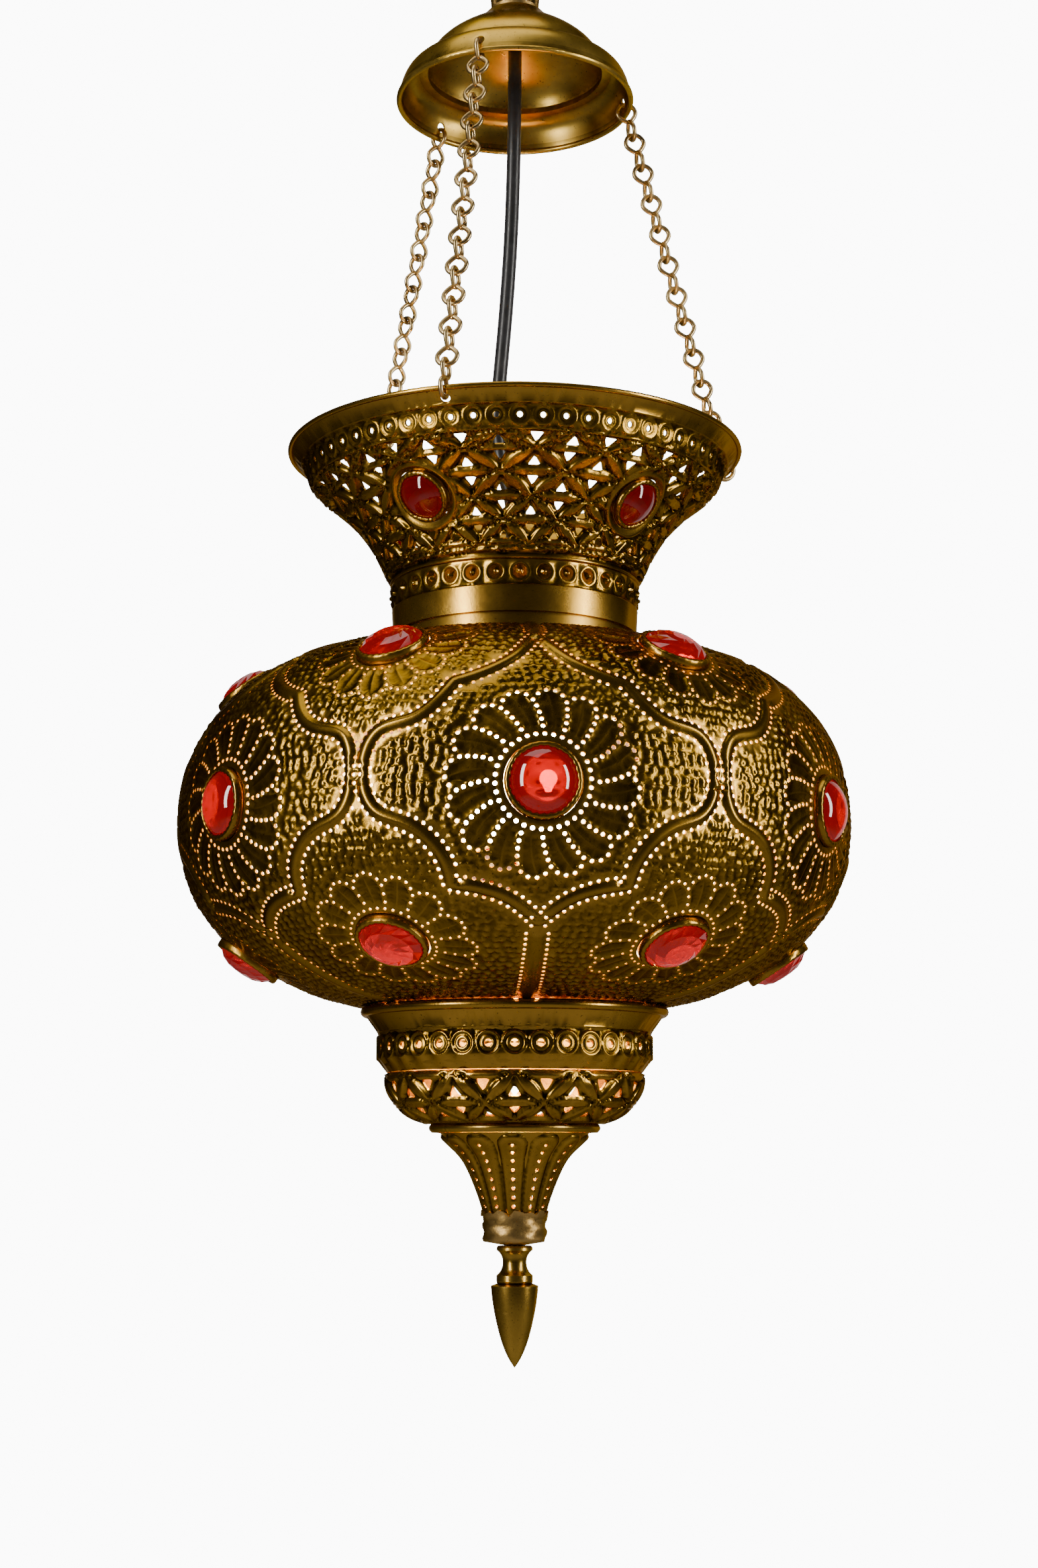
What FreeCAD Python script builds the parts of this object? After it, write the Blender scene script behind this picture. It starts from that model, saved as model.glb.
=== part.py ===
import FreeCAD, Part
import math
import os

# A hanging lamp of pierced sheet brass with glass stones.
# Lengths are millimetres. Outlines are (radius, height) pairs, heights counted up from the finial's tip.
# The row's origin is the centre of the ceiling face, so a height h lies at z = h - DROP.

V = FreeCAD.Vector
UP = V(0, 0, 1)

# ---------------------------------------------------------------- driving dimensions
DROP = 772.0                    # ceiling face to finial tip
SHEET = 1.0                     # wall of the spun and pierced brass
CORD_R = 3.4                    # round three-core flex
TUBE_R, TUBE_BORE = 5.0, 4.1    # M10 lamp tube
TUBE_ENTRY = 2.5                # how far it screws into the loop's foot

SCREW_SPACING, SCREW_HOLE_R = 70.0, 2.5
BRACKET_END, BRACKET_WIDTH, BRACKET_THICK = 6.0, 18.0, 2.5      # past the screw holes, across, and through
ROSE_R, ROSE_FLOOR, ROSE_CORD_Y, ROSE_WALL = 45.0, 746.0, 27.0, 1.2
ROSE_SIDE = [(ROSE_R, 758.0), (42.0, 750.5), (36.0, ROSE_FLOOR)]
ROSE_INSIDE = [(34.9, ROSE_FLOOR + ROSE_WALL), (41.0, 751.0), (ROSE_R - ROSE_WALL, 758.4)]
ROSE_HOOK_CLEAR = 0.2
BUSH_R, BUSH_FLANGE_R, BUSH_FLANGE, BUSH_INSIDE = 6.0, 8.5, 1.5, 5.0
BUSH_TIP_R, BUSH_TAPER_R, BUSH_TIP, BUSH_TAPER = 4.6, 6.4, 730.5, 14.0
TERMINAL_X, TERMINAL_Y, TERMINAL_H, TERMINAL_BACK, TERMINAL_LOW = 18.0, 24.0, 15.5, 7.5, 754.0

HOOK_R, HOOK_BOWL_R, HOOK_PIVOT = 3.0, 10.0, 703.0
HOOK_SHANK = [(0, DROP - 0.5), (0, 738.0), (HOOK_BOWL_R, 724.0), (HOOK_BOWL_R, HOOK_PIVOT + HOOK_BOWL_R)]
HOOK_LIP, HOOK_COLLAR_R, HOOK_COLLAR = 6.0, 7.5, 3.0
HOOK_NUT_ACROSS, HOOK_NUT_DEPTH = 10.0, 5.0
LOOP_WIRE_R, LOOP_ARCH_R, LOOP_ARCH_H, LOOP_LEAN = 3.2, 11.9, 697.6, 4.8
LOOP_FOOT_R, LOOP_SHOULDER_R, LOOP_RIM, LOOP_FOOT = 12.4, 8.0, 2.5, 5.5
LOOP_BITE = 1.5                 # how far the arms run into the foot, from the canopy's top
LOOP_FLARE_R, LOOP_FLARE = 5.8, 4.0

CANOPY_TOP = 653.0
CANOPY_BEAD = (57.0, 607.4)
CANOPY_BEAD_R = 1.4
CANOPY_SKIRT = [(57.4, 608.4), (56.3, 613.0), (53.6, 619.0), (47.6, 622.5)]
CANOPY_DOME = [(44.2, 624.8), (38.6, 634.0), (28.4, 642.0), (19.5, 648.0), (14.6, CANOPY_TOP - 0.3)]

CHAIN_ANGLES = {"front": -17.0, "right": 103.0, "rear": 223.0}
CHAIN_LINKS = 12
CHAIN_WIRE_R = 1.05
CHAIN_GAP = 0.15                # between the wires of two links
CHAIN_WAIST = 0.3               # how far a link's two eyes run into each other
CHAIN_TOP = (55.9, 612.1)       # middle of the wire in the canopy's hole
CHAIN_FOOT = (106.7, 422.2)     # middle of the wire under the gallery's rim
CANOPY_HOLE_R, CANOPY_HOLE_H = 2.3, 613.0
CANOPY_LID_R, CANOPY_LID_INSIDE_R, CANOPY_STEP_R = 13.4, 13.2, 44.0
TUBE_FREE, TUBE_LOW = 0.1, 640.0
WASHER_R, WASHER_THICK, CANOPY_NUT_ACROSS, CANOPY_NUT_DEPTH = 12.0, 1.3, 14.0, 4.7
LINK_SEAM = 40.0                # degrees, where a link's lower eye starts
RIM_HOLE_R = 2.3
RIM_HOLE_BACK = 5.0             # hole's distance from the rim bead's middle

GALLERY_BEAD = (107.4, 425.9)
GALLERY_BEAD_R = 1.2
FLANGE_FOOT = (99.7, 418.0)
GALLERY_FLARE = [(56.9, 357.5), (60.4, 367.0), (71.2, 387.0), (84.3, 401.0), (97.6, 411.3)]
GALLERY_BOTTOM = 337.0
NECK_R = 56.9                   # outside of the gallery's straight neck
BAND_WALL, BAND_TOP = 0.9, 356.6
GALLERY_RING = [(57.0, 360.0), (58.7, 360.0), (61.3, 366.4), (59.6, 366.4)]      # raised ring at the flare's foot

BODY_OUTLINE = [
    (63.5, 162.3),
    (88.0, 167.0),
    (106.0, 173.8),
    (134.0, 192.2),
    (149.5, 215.0),
    (155.3, 243.0),
    (149.1, 278.0),
    (132.2, 302.0),
    (102.0, 319.5),
    (56.0, 328.6),
]
BULGE_R, SOLDER_LINE = 155.3, 243.5      # the body's widest radius, and the height where its halves meet
NECK_RING_R, NECK_RING_WALL, NECK_RING_FOOT, NECK_RING_TOP, NECK_LEDGE_R = 55.9, 1.2, 325.0, 347.0, 46.0

COLLAR_BEAD = (68.9, 159.8)
COLLAR_BEAD_R = 2.3
COLLAR_MOULDING = [(68.9, 158.2), (68.2, 155.6), (64.8, 153.0), (62.8, 150.2)]
COLLAR_LIP = [(62.8, 137.0), (62.2, 134.2), (58.9, 132.2)]
COLLAR_INSIDE_LOW = [(57.6, 132.4), (61.2, 134.8), (61.8, 137.4)]
COLLAR_INSIDE_TOP = [(61.8, 150.6), (63.8, 154.0), (66.6, 157.0), (67.4, 159.4)]
BOWL_OUTLINE = [(58.5, 132.0), (58.2, 126.0), (55.4, 120.0), (49.5, 114.0), (37.4, 109.4)]
RING_R, RING_EDGE_R, RING_INNER, RING_LOW, RING_MIDDLE, RING_TOP = 39.4, 38.0, 36.1, 105.0, 107.1, 109.2
TAIL_OUTLINE = [(35.8, 104.9), (30.8, 100.0), (24.9, 94.0), (20.0, 85.0), (16.5, 76.0), (13.7, 66.5)]
TAIL_END = 61.0
FERRULE_OUTLINE = [(15.6, 69.6), (14.7, 66.0), (14.6, 58.0), (13.7, 54.3)]
FERRULE_FLOOR, FERRULE_INSIDE = 55.5, [(12.6, 55.5), (12.6, 60.0), (13.2, 60.9), (13.2, 69.6)]
FINIAL_COLLAR = [(7.6, 54.2), (8.2, 53.4), (8.2, 52.2)]
FINIAL_NECK = [(8.2, 52.2), (5.6, 48.6), (5.4, 46.4), (6.8, 42.4)]
FINIAL_BEAD = [(6.8, 42.4), (8.3, 41.0), (8.3, 38.5), (8.0, 37.4)]
FINIAL_BODY = [(10.8, 36.4), (10.0, 29.0), (7.9, 18.5), (4.4, 7.5), (0.0, 0.0)]
STUD_R, STUD_LOW, STUD_TOP = 2.5, 54.0, 66.0
FINIAL_NUT_ACROSS, FINIAL_NUT_DEPTH = 8.0, 4.0

# Stones: the first of each row, and how the hand-set rows drift from an even spacing.
STONE_START = 4.4
STONE_DRIFT = 2.2
SEAM_ANGLE = 19.4               # where the turned walls close, between the stones
STONE_R, STONE_DOME, STONE_SEAT = 14.8, 7.5, 2.0
BEZEL_WALL, BEZEL_DEPTH, BEZEL_RISE, BEZEL_SHELF = 1.2, 2.6, 2.6, 1.5
BEZEL_CUT = 30.0                # length of the drill through the sheet for a cup
STONE_HEIGHTS = {"equator": 243.5, "upper": 308.0, "lower": 183.0}
GALLERY_STONE_R, GALLERY_STONE_DOME, GALLERY_STONE_H = 11.6, 5.5, 389.5
GALLERY_STONE_ANGLES = (-34.5, 49.5, 140.0, 229.5)

# Lampholder and bulb, both to the 27 mm Edison screw.
HOLDER_R, HOLDER_BORE, HOLDER_BOTTOM, HOLDER_TOP = 19.9, 17.0, 312.0, 352.0
STRAP_LOW, STRAP_TOP, STRAP_HALF, STRAP_WIDTH = 326.2, 328.2, 53.5, 16.0
STRAP_SCREW_X, STRAP_SCREW_R, STRAP_EYE_R = 49.5, 1.5, 27.0
STRAP_HEAD_R, STRAP_HEAD, STRAP_SHANK_LOW, STRAP_NUT_ACROSS, STRAP_NUT_DEPTH = 2.8, 2.0, 320.0, 5.5, 2.4
HOLDER_FLANGE_R, HOLDER_FLANGE, HOLDER_FREE = 23.5, 3.0, 0.1
SHADE_RING_R, SHADE_RING = 26.0, 5.0
CAP_OUTSIDE = [(HOLDER_R, 362.0), (16.0, 373.0), (9.0, 378.0)]
CAP_INSIDE = [(7.0, 376.3), (14.6, 371.8), (18.4, 361.5)]
CAP_HOLE_R, CAP_TOP, CAP_UNDER = 4.6, 378.0, 376.3
GRIP_TIP_R, GRIP_TAPER, GRIP_FLANGE_R, GRIP_FLANGE, GRIP_FREE = 4.1, 14.0, 6.8, 1.5, 0.05
INSERT_LOW, INSERT_POCKET_R, CONTACT_R, CONTACT_LOW, CONTACT_TOP = 345.5, 6.5, 3.5, 347.4, 349.5
SHELL_R, SHELL_BORE, SHELL_LOW = 14.3, 13.5, 322.0
BULB_R, BULB_MIDDLE, BULB_CAP_R, BULB_CAP_LOW = 30.0, 267.0, 13.1, 321.0
GLASS_WALL = 0.8
GLASS_NECK = [(12.2, 322.0), (13.4, 312.0), (17.6, 297.0)]
GLASS_WRAP, GLASS_LOW = 20.0, 35.0      # degrees round the bulb where the neck joins, and a point below
CAP_WALL, CAP_SHOULDER, CAP_TIP_R, CAP_TIP = 0.6, 341.0, 5.4, 344.6
TIP_R, TIP_LOW, TIP_TOP = 4.0, 344.8, 347.0
STEM_R, STEM_TIP_R, STEM_LENGTH, STEM_TOP = 9.5, 3.2, 36.0, 322.2
COIL_R, COIL_WIRE_R, COIL_H, COIL_TURN = 9.0, 0.7, 272.0, 250.0
LEAD_R, LEAD_X, LEAD_LOW, LEAD_TOP = 0.4, 1.5, 272.8, 286.0

# Cord routes, from the ceiling end down.
CORD_UPPER = [
    (0.0, 27.0, 754.0),
    (0.0, 27.0, 741.0),
    (0.0, 25.8, 724.0),
    (0.0, 21.2, 704.0),
    (0.0, 13.2, 685.0),
    (0.0, 4.9, 670.0),
    (0.0, 0.7, 659.0),
    (0.0, 0.0, 647.0),
]
CORD_LOWER = [
    (0.0, 0.0, 646.7),
    (0.0, 0.0, 625.0),
    (-0.3, 0.3, 588.0),
    (-1.6, 0.5, 541.0),
    (-4.2, 0.2, 500.0),
    (-7.2, -0.2, 466.0),
    (-9.2, -0.2, 444.0),
    (-6.4, 0.0, 421.0),
    (0.0, 0.0, 400.0),
    (0.0, 0.0, 379.5),
]


# ---------------------------------------------------------------- helpers
def at(radius, height):
    """A point of an outline, in the XZ plane."""
    return V(radius, 0, height - DROP)


def points(outline):
    return [at(r, h) for r, h in outline]


def line(a, b):
    return Part.LineSegment(a, b).toShape()


def curve(outline):
    """A smooth edge through an outline's points."""
    spline = Part.BSplineCurve()
    spline.interpolate(points(outline))
    return spline.toShape()


def edges_of(*stretches):
    """Edges along the stretches, each smooth if it has more than two points, joined by straight edges."""
    edges = []
    last = None
    for stretch in stretches:
        start = at(*stretch[0])
        if last is not None and last.distanceToPoint(start) > 1e-6:
            edges.append(line(last, start))
        if len(stretch) == 2:
            edges.append(line(start, at(*stretch[1])))
        elif len(stretch) > 2:
            edges.append(curve(stretch))
        last = at(*stretch[-1])
    return edges


def turned(*stretches):
    """A solid of revolution about the lamp's axis, closed from the last stretch's end to the first's start."""
    closed = list(stretches) + [[stretches[0][0]]]
    face = Part.Face(Part.Wire(edges_of(*closed)))
    return solid_of(face.revolve(V(0, 0, 0), UP, 360))


def solid_of(shape):
    """The shape's solids, with outward faces."""
    solids = []
    for solid in shape.Solids:
        if solid.Volume < 0:
            solid.reverse()
        solids.append(solid)
    return solids[0] if len(solids) == 1 else Part.makeCompound(solids)


def inward(outline, wall):
    """The outline moved sideways by the wall, to the right of its direction of travel."""
    spline = curve(outline).Curve
    moved = []
    for point in points(outline):
        tangent = spline.tangent(spline.parameter(point))[0]
        side = V(tangent.z, 0, -tangent.x)
        shifted = point + side * wall
        moved.append((shifted.x, shifted.z + DROP))
    return moved


def sheet_wall(outline, wall=SHEET):
    """A sheet of revolution whose outer face is the smooth outline; wall is to the outline's right."""
    inner = inward(outline, wall)
    return turned(outline, inner[::-1])


def disc(radius, low, high, x=0.0, y=0.0):
    return Part.makeCylinder(radius, high - low, V(x, y, low - DROP))


def tube(outer, inner, low, high, x=0.0, y=0.0):
    return disc(outer, low, high, x, y).cut(disc(inner, low - 1, high + 1, x, y))


def bead(middle, radius):
    return Part.makeTorus(middle[0], radius, V(0, 0, middle[1] - DROP))


def hex_nut(across_flats, bore, low, high):
    corner = across_flats / math.sqrt(3)
    ring = [V(corner * math.cos(math.radians(60 * k)), corner * math.sin(math.radians(60 * k)), low - DROP)
            for k in range(7)]
    prism = Part.Face(Part.makePolygon(ring)).extrude(V(0, 0, high - low))
    return prism.cut(disc(bore, low - 1, high + 1))


def around(shape, angle):
    """The shape turned from +X to an angle counted from the front (-Y) towards the right (+X)."""
    turned_shape = shape.copy()
    turned_shape.rotate(V(0, 0, 0), UP, angle - 90)
    return turned_shape


def route_path(route):
    """Straight runs joined by tangent arcs, and the arcs' radii."""
    corners = [V(x, y, h - DROP) for x, y, h in route]
    edges, radii = [], []
    last = corners[0]
    for before, corner, after in zip(corners, corners[1:], corners[2:]):
        into = corner - before
        out = after - corner
        half_turn = into.getAngle(out) / 2
        reach = 0.45 * min(into.Length, out.Length)
        radii.append(reach / math.tan(half_turn))
        start = corner - into.normalize() * reach
        end = corner + out.normalize() * reach
        middle = corner + (out - into).normalize() * (radii[-1] / math.cos(half_turn) - radii[-1])
        edges.append(line(last, start))
        edges.append(Part.Arc(start, middle, end).toShape())
        last = end
    edges.append(line(last, corners[-1]))
    return Part.Wire(edges), radii


def swept(route, radius):
    """A round bar along a route."""
    path, radii = route_path(route)
    first = path.Edges[0]
    start = first.valueAt(first.FirstParameter)
    profile = Part.Wire(Part.makeCircle(radius, start, first.tangentAt(first.FirstParameter)))
    return solid_of(path.makePipeShell([profile], True, True)), path, radii


def hand_laid(angle):
    """A row's even angle as it was set by hand, a little closer together at the front."""
    return angle - STONE_DRIFT * math.sin(math.radians(angle - STONE_START))


def on_outline(outline, height):
    """The outline's point at a height, and its outward slope angle above the horizontal, in degrees."""
    edge = curve(outline)
    steps = 2000
    params = [edge.FirstParameter + (edge.LastParameter - edge.FirstParameter) * k / steps for k in range(steps + 1)]
    best = min(params, key=lambda p: abs(edge.valueAt(p).z + DROP - height))
    point, tangent = edge.valueAt(best), edge.tangentAt(best)
    return point, math.degrees(math.atan2(-tangent.x, tangent.z))


def seated(shape, point, tilt, angle):
    """A shape made about +Z set on the surface: its +Z along the outward normal."""
    moved = shape.copy()
    moved.rotate(V(0, 0, 0), V(0, 1, 0), 90 - tilt)
    moved.translate(point)
    return around(moved, angle)


# ---------------------------------------------------------------- stones
def stone(radius, dome):
    """A flat-backed glass cabochon about +Z, its girdle at the origin."""
    sphere_r = (radius ** 2 + dome ** 2) / (2 * dome)
    ball = Part.makeSphere(sphere_r, V(0, 0, dome - sphere_r))
    cap = ball.common(Part.makeCylinder(radius, dome + 1))
    return cap.fuse(Part.makeCylinder(radius, STONE_SEAT, V(0, 0, -STONE_SEAT))).removeSplitter()


def bezel(radius):
    """The crimped brass cup round a stone, with a narrow shelf under the glass."""
    outer = Part.makeCylinder(radius + BEZEL_WALL, BEZEL_DEPTH + BEZEL_RISE, V(0, 0, -BEZEL_DEPTH))
    bore = Part.makeCylinder(radius, BEZEL_RISE + STONE_SEAT + 1, V(0, 0, -STONE_SEAT))
    window = Part.makeCylinder(radius - BEZEL_SHELF, BEZEL_DEPTH + 1, V(0, 0, -BEZEL_DEPTH - 0.5))
    return outer.cut(bore).cut(window)


def stone_row(outline, height, angles, radius, dome):
    """The seats (point, tilt, angle) of a row, and the row's stones, bezels and the holes that they need."""
    point, tilt = on_outline(outline, height)
    glass = stone(radius, dome).cut(bezel(radius))
    cup = bezel(radius)
    hole = Part.makeCylinder(radius + BEZEL_WALL, BEZEL_CUT, V(0, 0, -BEZEL_CUT / 2))
    stones = [seated(glass, point, tilt, a) for a in angles]
    cups = [seated(cup, point, tilt, a) for a in angles]
    holes = [seated(hole, point, tilt, a) for a in angles]
    return Part.makeCompound(stones), Part.makeCompound(cups), holes


# ---------------------------------------------------------------- ceiling group
def ceiling_bracket():
    half = SCREW_SPACING / 2 + BRACKET_END
    bar = Part.makeBox(2 * half, BRACKET_WIDTH, BRACKET_THICK, V(-half, -BRACKET_WIDTH / 2, -BRACKET_THICK))
    bar = bar.cut(disc(HOOK_R, DROP - 4, DROP + 1))
    for side in (-1, 1):
        bar = bar.cut(disc(SCREW_HOLE_R, DROP - 4, DROP + 1, side * SCREW_SPACING / 2))
    return bar


def ceiling_rose():
    bore = HOOK_R + ROSE_HOOK_CLEAR
    cup = turned([(ROSE_R, DROP), ROSE_SIDE[0]], ROSE_SIDE, [(bore, ROSE_FLOOR)], [(bore, ROSE_FLOOR + ROSE_WALL)],
                 ROSE_INSIDE, [ROSE_INSIDE[-1], (ROSE_R - ROSE_WALL, DROP)])
    return cup.cut(disc(BUSH_R, ROSE_FLOOR - 2, ROSE_FLOOR + 4, 0, ROSE_CORD_Y))


def ceiling_hook():
    """Shank, collar under the rose, and a bowl whose lowest point is on the lamp's axis."""
    bowl_h = HOOK_PIVOT + HOOK_BOWL_R
    path, _ = route_path([(0, y, h) for y, h in HOOK_SHANK])
    centre = V(0, 0, bowl_h - DROP)
    bowl = Part.Arc(centre + V(0, HOOK_BOWL_R, 0), centre - UP * HOOK_BOWL_R, centre - V(0, HOOK_BOWL_R, 0))
    lip = line(centre - V(0, HOOK_BOWL_R, 0), centre + V(0, -HOOK_BOWL_R, HOOK_LIP))
    whole = Part.Wire(path.Edges + [bowl.toShape(), lip])
    profile = Part.Wire(Part.makeCircle(HOOK_R, V(0, 0, HOOK_SHANK[0][1] - DROP), UP))
    wire = solid_of(whole.makePipeShell([profile], True, True))
    tip = Part.makeSphere(HOOK_R, centre + V(0, -HOOK_BOWL_R, HOOK_LIP))
    collar = disc(HOOK_COLLAR_R, ROSE_FLOOR - HOOK_COLLAR, ROSE_FLOOR)
    return wire.fuse([collar, tip]).removeSplitter()


def rose_bush():
    """Moulded cord entry: a body in the rose's floor, a flange under it and a taper down the cord."""
    taper = Part.makeCone(BUSH_TIP_R, BUSH_TAPER_R, BUSH_TAPER, V(0, 0, BUSH_TIP - DROP))
    flange = disc(BUSH_FLANGE_R, ROSE_FLOOR - BUSH_FLANGE, ROSE_FLOOR)
    body = disc(BUSH_R, ROSE_FLOOR - 1, ROSE_FLOOR + BUSH_INSIDE)
    bush = taper.fuse([flange, body]).removeSplitter()
    bush.translate(V(0, ROSE_CORD_Y, 0))
    return bush.cut(disc(CORD_R, BUSH_TIP - 5, ROSE_FLOOR + 10, 0, ROSE_CORD_Y))


def terminal_block():
    return Part.makeBox(TERMINAL_X, TERMINAL_Y, TERMINAL_H, V(-TERMINAL_X / 2, TERMINAL_BACK, TERMINAL_LOW - DROP))


# ---------------------------------------------------------------- canopy group
def hanger_loop():
    """Cast stirrup: a foot on the canopy, two arms and an arch that hangs on the hook."""
    lean = math.radians(LOOP_LEAN)
    middle = V(0, 0, LOOP_ARCH_H - DROP)
    shoulder = V(LOOP_ARCH_R * math.cos(lean), 0, middle.z - LOOP_ARCH_R * math.sin(lean))
    arm = (shoulder.z - (CANOPY_TOP + LOOP_BITE - DROP)) / math.cos(lean)
    foot_end = shoulder - V(math.sin(lean), 0, math.cos(lean)) * arm

    def mirrored(point):
        return V(-point.x, 0, point.z)

    arch = Part.Arc(shoulder, middle + UP * LOOP_ARCH_R, mirrored(shoulder)).toShape()
    path = Part.Wire([line(foot_end, shoulder), arch, line(mirrored(shoulder), mirrored(foot_end))])
    profile = Part.Wire(Part.makeCircle(LOOP_WIRE_R, foot_end, shoulder - foot_end))
    stirrup = solid_of(path.makePipeShell([profile], True, True))
    foot = turned([(0, CANOPY_TOP), (LOOP_FOOT_R, CANOPY_TOP)],
                  [(LOOP_FOOT_R, CANOPY_TOP + LOOP_RIM), (LOOP_SHOULDER_R, CANOPY_TOP + LOOP_FOOT)],
                  [(0, CANOPY_TOP + LOOP_FOOT)])
    loop = solid_of(stirrup.fuse(foot).removeSplitter())
    below = disc(30, CANOPY_TOP - 5, CANOPY_TOP)
    tapped = disc(TUBE_R, CANOPY_TOP - 1, CANOPY_TOP + TUBE_ENTRY)
    flare = Part.makeCone(TUBE_BORE, LOOP_FLARE_R, LOOP_FLARE, V(0, 0, CANOPY_TOP + TUBE_ENTRY - 0.2 - DROP))
    return solid_of(loop.cut([below, tapped, flare]))


def canopy():
    skirt_inner = inward(CANOPY_SKIRT, -SHEET)
    dome_inner = inward(CANOPY_DOME, -SHEET)
    top_hole = TUBE_R + TUBE_FREE
    wall = turned(CANOPY_SKIRT, CANOPY_DOME, [(CANOPY_LID_R, CANOPY_TOP)], [(top_hole, CANOPY_TOP)],
                  [(top_hole, CANOPY_TOP - SHEET)], [(CANOPY_LID_INSIDE_R, CANOPY_TOP - SHEET)], dome_inner[::-1],
                  [(CANOPY_STEP_R - SHEET, CANOPY_SKIRT[-1][1] - SHEET)], skirt_inner[::-1])
    dish = wall.fuse(bead(CANOPY_BEAD, CANOPY_BEAD_R)).removeSplitter()
    for angle in CHAIN_ANGLES.values():
        drill = Part.makeCylinder(CANOPY_HOLE_R, 12, at(50, CANOPY_HOLE_H), V(1, 0, 0))
        dish = dish.cut(around(drill, angle))
    return dish


# ---------------------------------------------------------------- chains
def chain(angle):
    """Jack-chain links: two round eyes each, a quarter turn apart, but in line on the link that holds the rim."""
    top, foot = at(*CHAIN_TOP), at(*CHAIN_FOOT)
    span = foot - top
    hooked = 2 * CHAIN_WIRE_R + CHAIN_GAP
    link_length = (span.Length + (CHAIN_LINKS - 1) * hooked) / CHAIN_LINKS
    eye_r = (link_length + CHAIN_WAIST) / 4
    down = V(span).normalize()
    across = V(0, 1, 0)
    links = []
    for index in range(CHAIN_LINKS):
        start = top + down * (index * (link_length - hooked))
        upper = Part.makeTorus(eye_r, CHAIN_WIRE_R, start + down * eye_r, across)
        flat = index == CHAIN_LINKS - 1
        facing = across if flat else down.cross(across)
        lower = Part.makeTorus(eye_r, CHAIN_WIRE_R, start + down * (link_length - eye_r), facing)
        lower.rotate(start + down * (link_length - eye_r), facing, LINK_SEAM)
        links.append(solid_of(upper.fuse(lower)))
    return around(Part.makeCompound(links), angle)


# ---------------------------------------------------------------- gallery and neck
def flange_direction():
    """Unit direction up the gallery's flange, as (radius, height)."""
    dr, dh = GALLERY_BEAD[0] - FLANGE_FOOT[0], GALLERY_BEAD[1] - FLANGE_FOOT[1]
    length = math.hypot(dr, dh)
    return dr / length, dh / length


def gallery(stone_holes):
    """Flared cup: straight neck, pierced flare and a flange with a rolled rim."""
    flare_inner = inward(GALLERY_FLARE, -SHEET)
    step = (GALLERY_FLARE[-1], FLANGE_FOOT)
    dr, dh = flange_direction()
    rim = (GALLERY_BEAD[0] - dr, GALLERY_BEAD[1] - dh)
    inset = (-SHEET * dh, SHEET * dr)
    inner_rim = (rim[0] + inset[0], rim[1] + inset[1])
    inner_foot = (FLANGE_FOOT[0] - 0.98 * SHEET, FLANGE_FOOT[1] + 0.4)
    inner_neck = NECK_R - SHEET
    wall = turned([(NECK_R, GALLERY_BOTTOM), GALLERY_FLARE[0]], GALLERY_FLARE, list(step), [FLANGE_FOOT, rim],
                  [inner_rim, inner_foot], flare_inner[::-1], [(inner_neck, GALLERY_BOTTOM)])
    ring = turned(GALLERY_RING[:2], GALLERY_RING[1:3], GALLERY_RING[2:])
    cup = around(wall.fuse([ring, bead(GALLERY_BEAD, GALLERY_BEAD_R)]).removeSplitter(), SEAM_ANGLE)
    middle = at(GALLERY_BEAD[0] - dr * RIM_HOLE_BACK, GALLERY_BEAD[1] - dh * RIM_HOLE_BACK)
    normal = V(dh, 0, -dr)
    drill = Part.makeCylinder(RIM_HOLE_R, 8, middle - normal * 4, normal)
    cutters = [around(drill, angle) for angle in CHAIN_ANGLES.values()]
    return solid_of(cup.cut(cutters + stone_holes))


def neck_band():
    return tube(NECK_R + BAND_WALL, NECK_R, GALLERY_BOTTOM, BAND_TOP)


def neck_ring():
    """Recessed sleeve between gallery and body, with a ledge inside for the holder strap."""
    inner = NECK_RING_R - NECK_RING_WALL
    ring = turned([(NECK_RING_R, NECK_RING_FOOT), (NECK_RING_R, NECK_RING_TOP)], [(inner, NECK_RING_TOP)],
                  [(inner, STRAP_LOW)], [(NECK_LEDGE_R, STRAP_LOW)], [(NECK_LEDGE_R, NECK_RING_FOOT)])
    for side in (-1, 1):
        ring = ring.cut(disc(STRAP_SCREW_R, 320, 330, side * STRAP_SCREW_X))
    return ring


def body_halves(stone_holes):
    """The onion body's upper and lower bowls, soldered together at the widest line."""
    shell = around(sheet_wall(BODY_OUTLINE, -SHEET), SEAM_ANGLE)
    for hole in stone_holes:
        shell = shell.cut(hole)
    low, top = BODY_OUTLINE[0][1] - 5, BODY_OUTLINE[-1][1] + 5
    reach = BULGE_R + 10
    upper = shell.cut(disc(reach, low, SOLDER_LINE))
    lower = shell.cut(disc(reach, SOLDER_LINE, top))
    return solid_of(upper), solid_of(lower)


# ---------------------------------------------------------------- lower pieces
def collar():
    side = [(COLLAR_MOULDING[-1]), (COLLAR_LIP[0])]
    wall = turned(COLLAR_MOULDING, side, COLLAR_LIP, COLLAR_INSIDE_LOW, COLLAR_INSIDE_TOP)
    return wall.fuse(bead(COLLAR_BEAD, COLLAR_BEAD_R)).removeSplitter()


def pierced_bowl():
    return sheet_wall(BOWL_OUTLINE, SHEET)


def bowl_ring():
    bulge = [(RING_EDGE_R, RING_LOW), (RING_R, RING_MIDDLE), (RING_EDGE_R, RING_TOP)]
    return turned([(RING_INNER, RING_LOW), bulge[0]], bulge, [(RING_INNER, RING_TOP)])


def tail_cone():
    inner = inward(TAIL_OUTLINE, SHEET)
    return turned(TAIL_OUTLINE, [(TAIL_OUTLINE[-1][0], TAIL_END)], [(TAIL_OUTLINE[-1][0] - SHEET, TAIL_END)],
                  inner[::-1])


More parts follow.
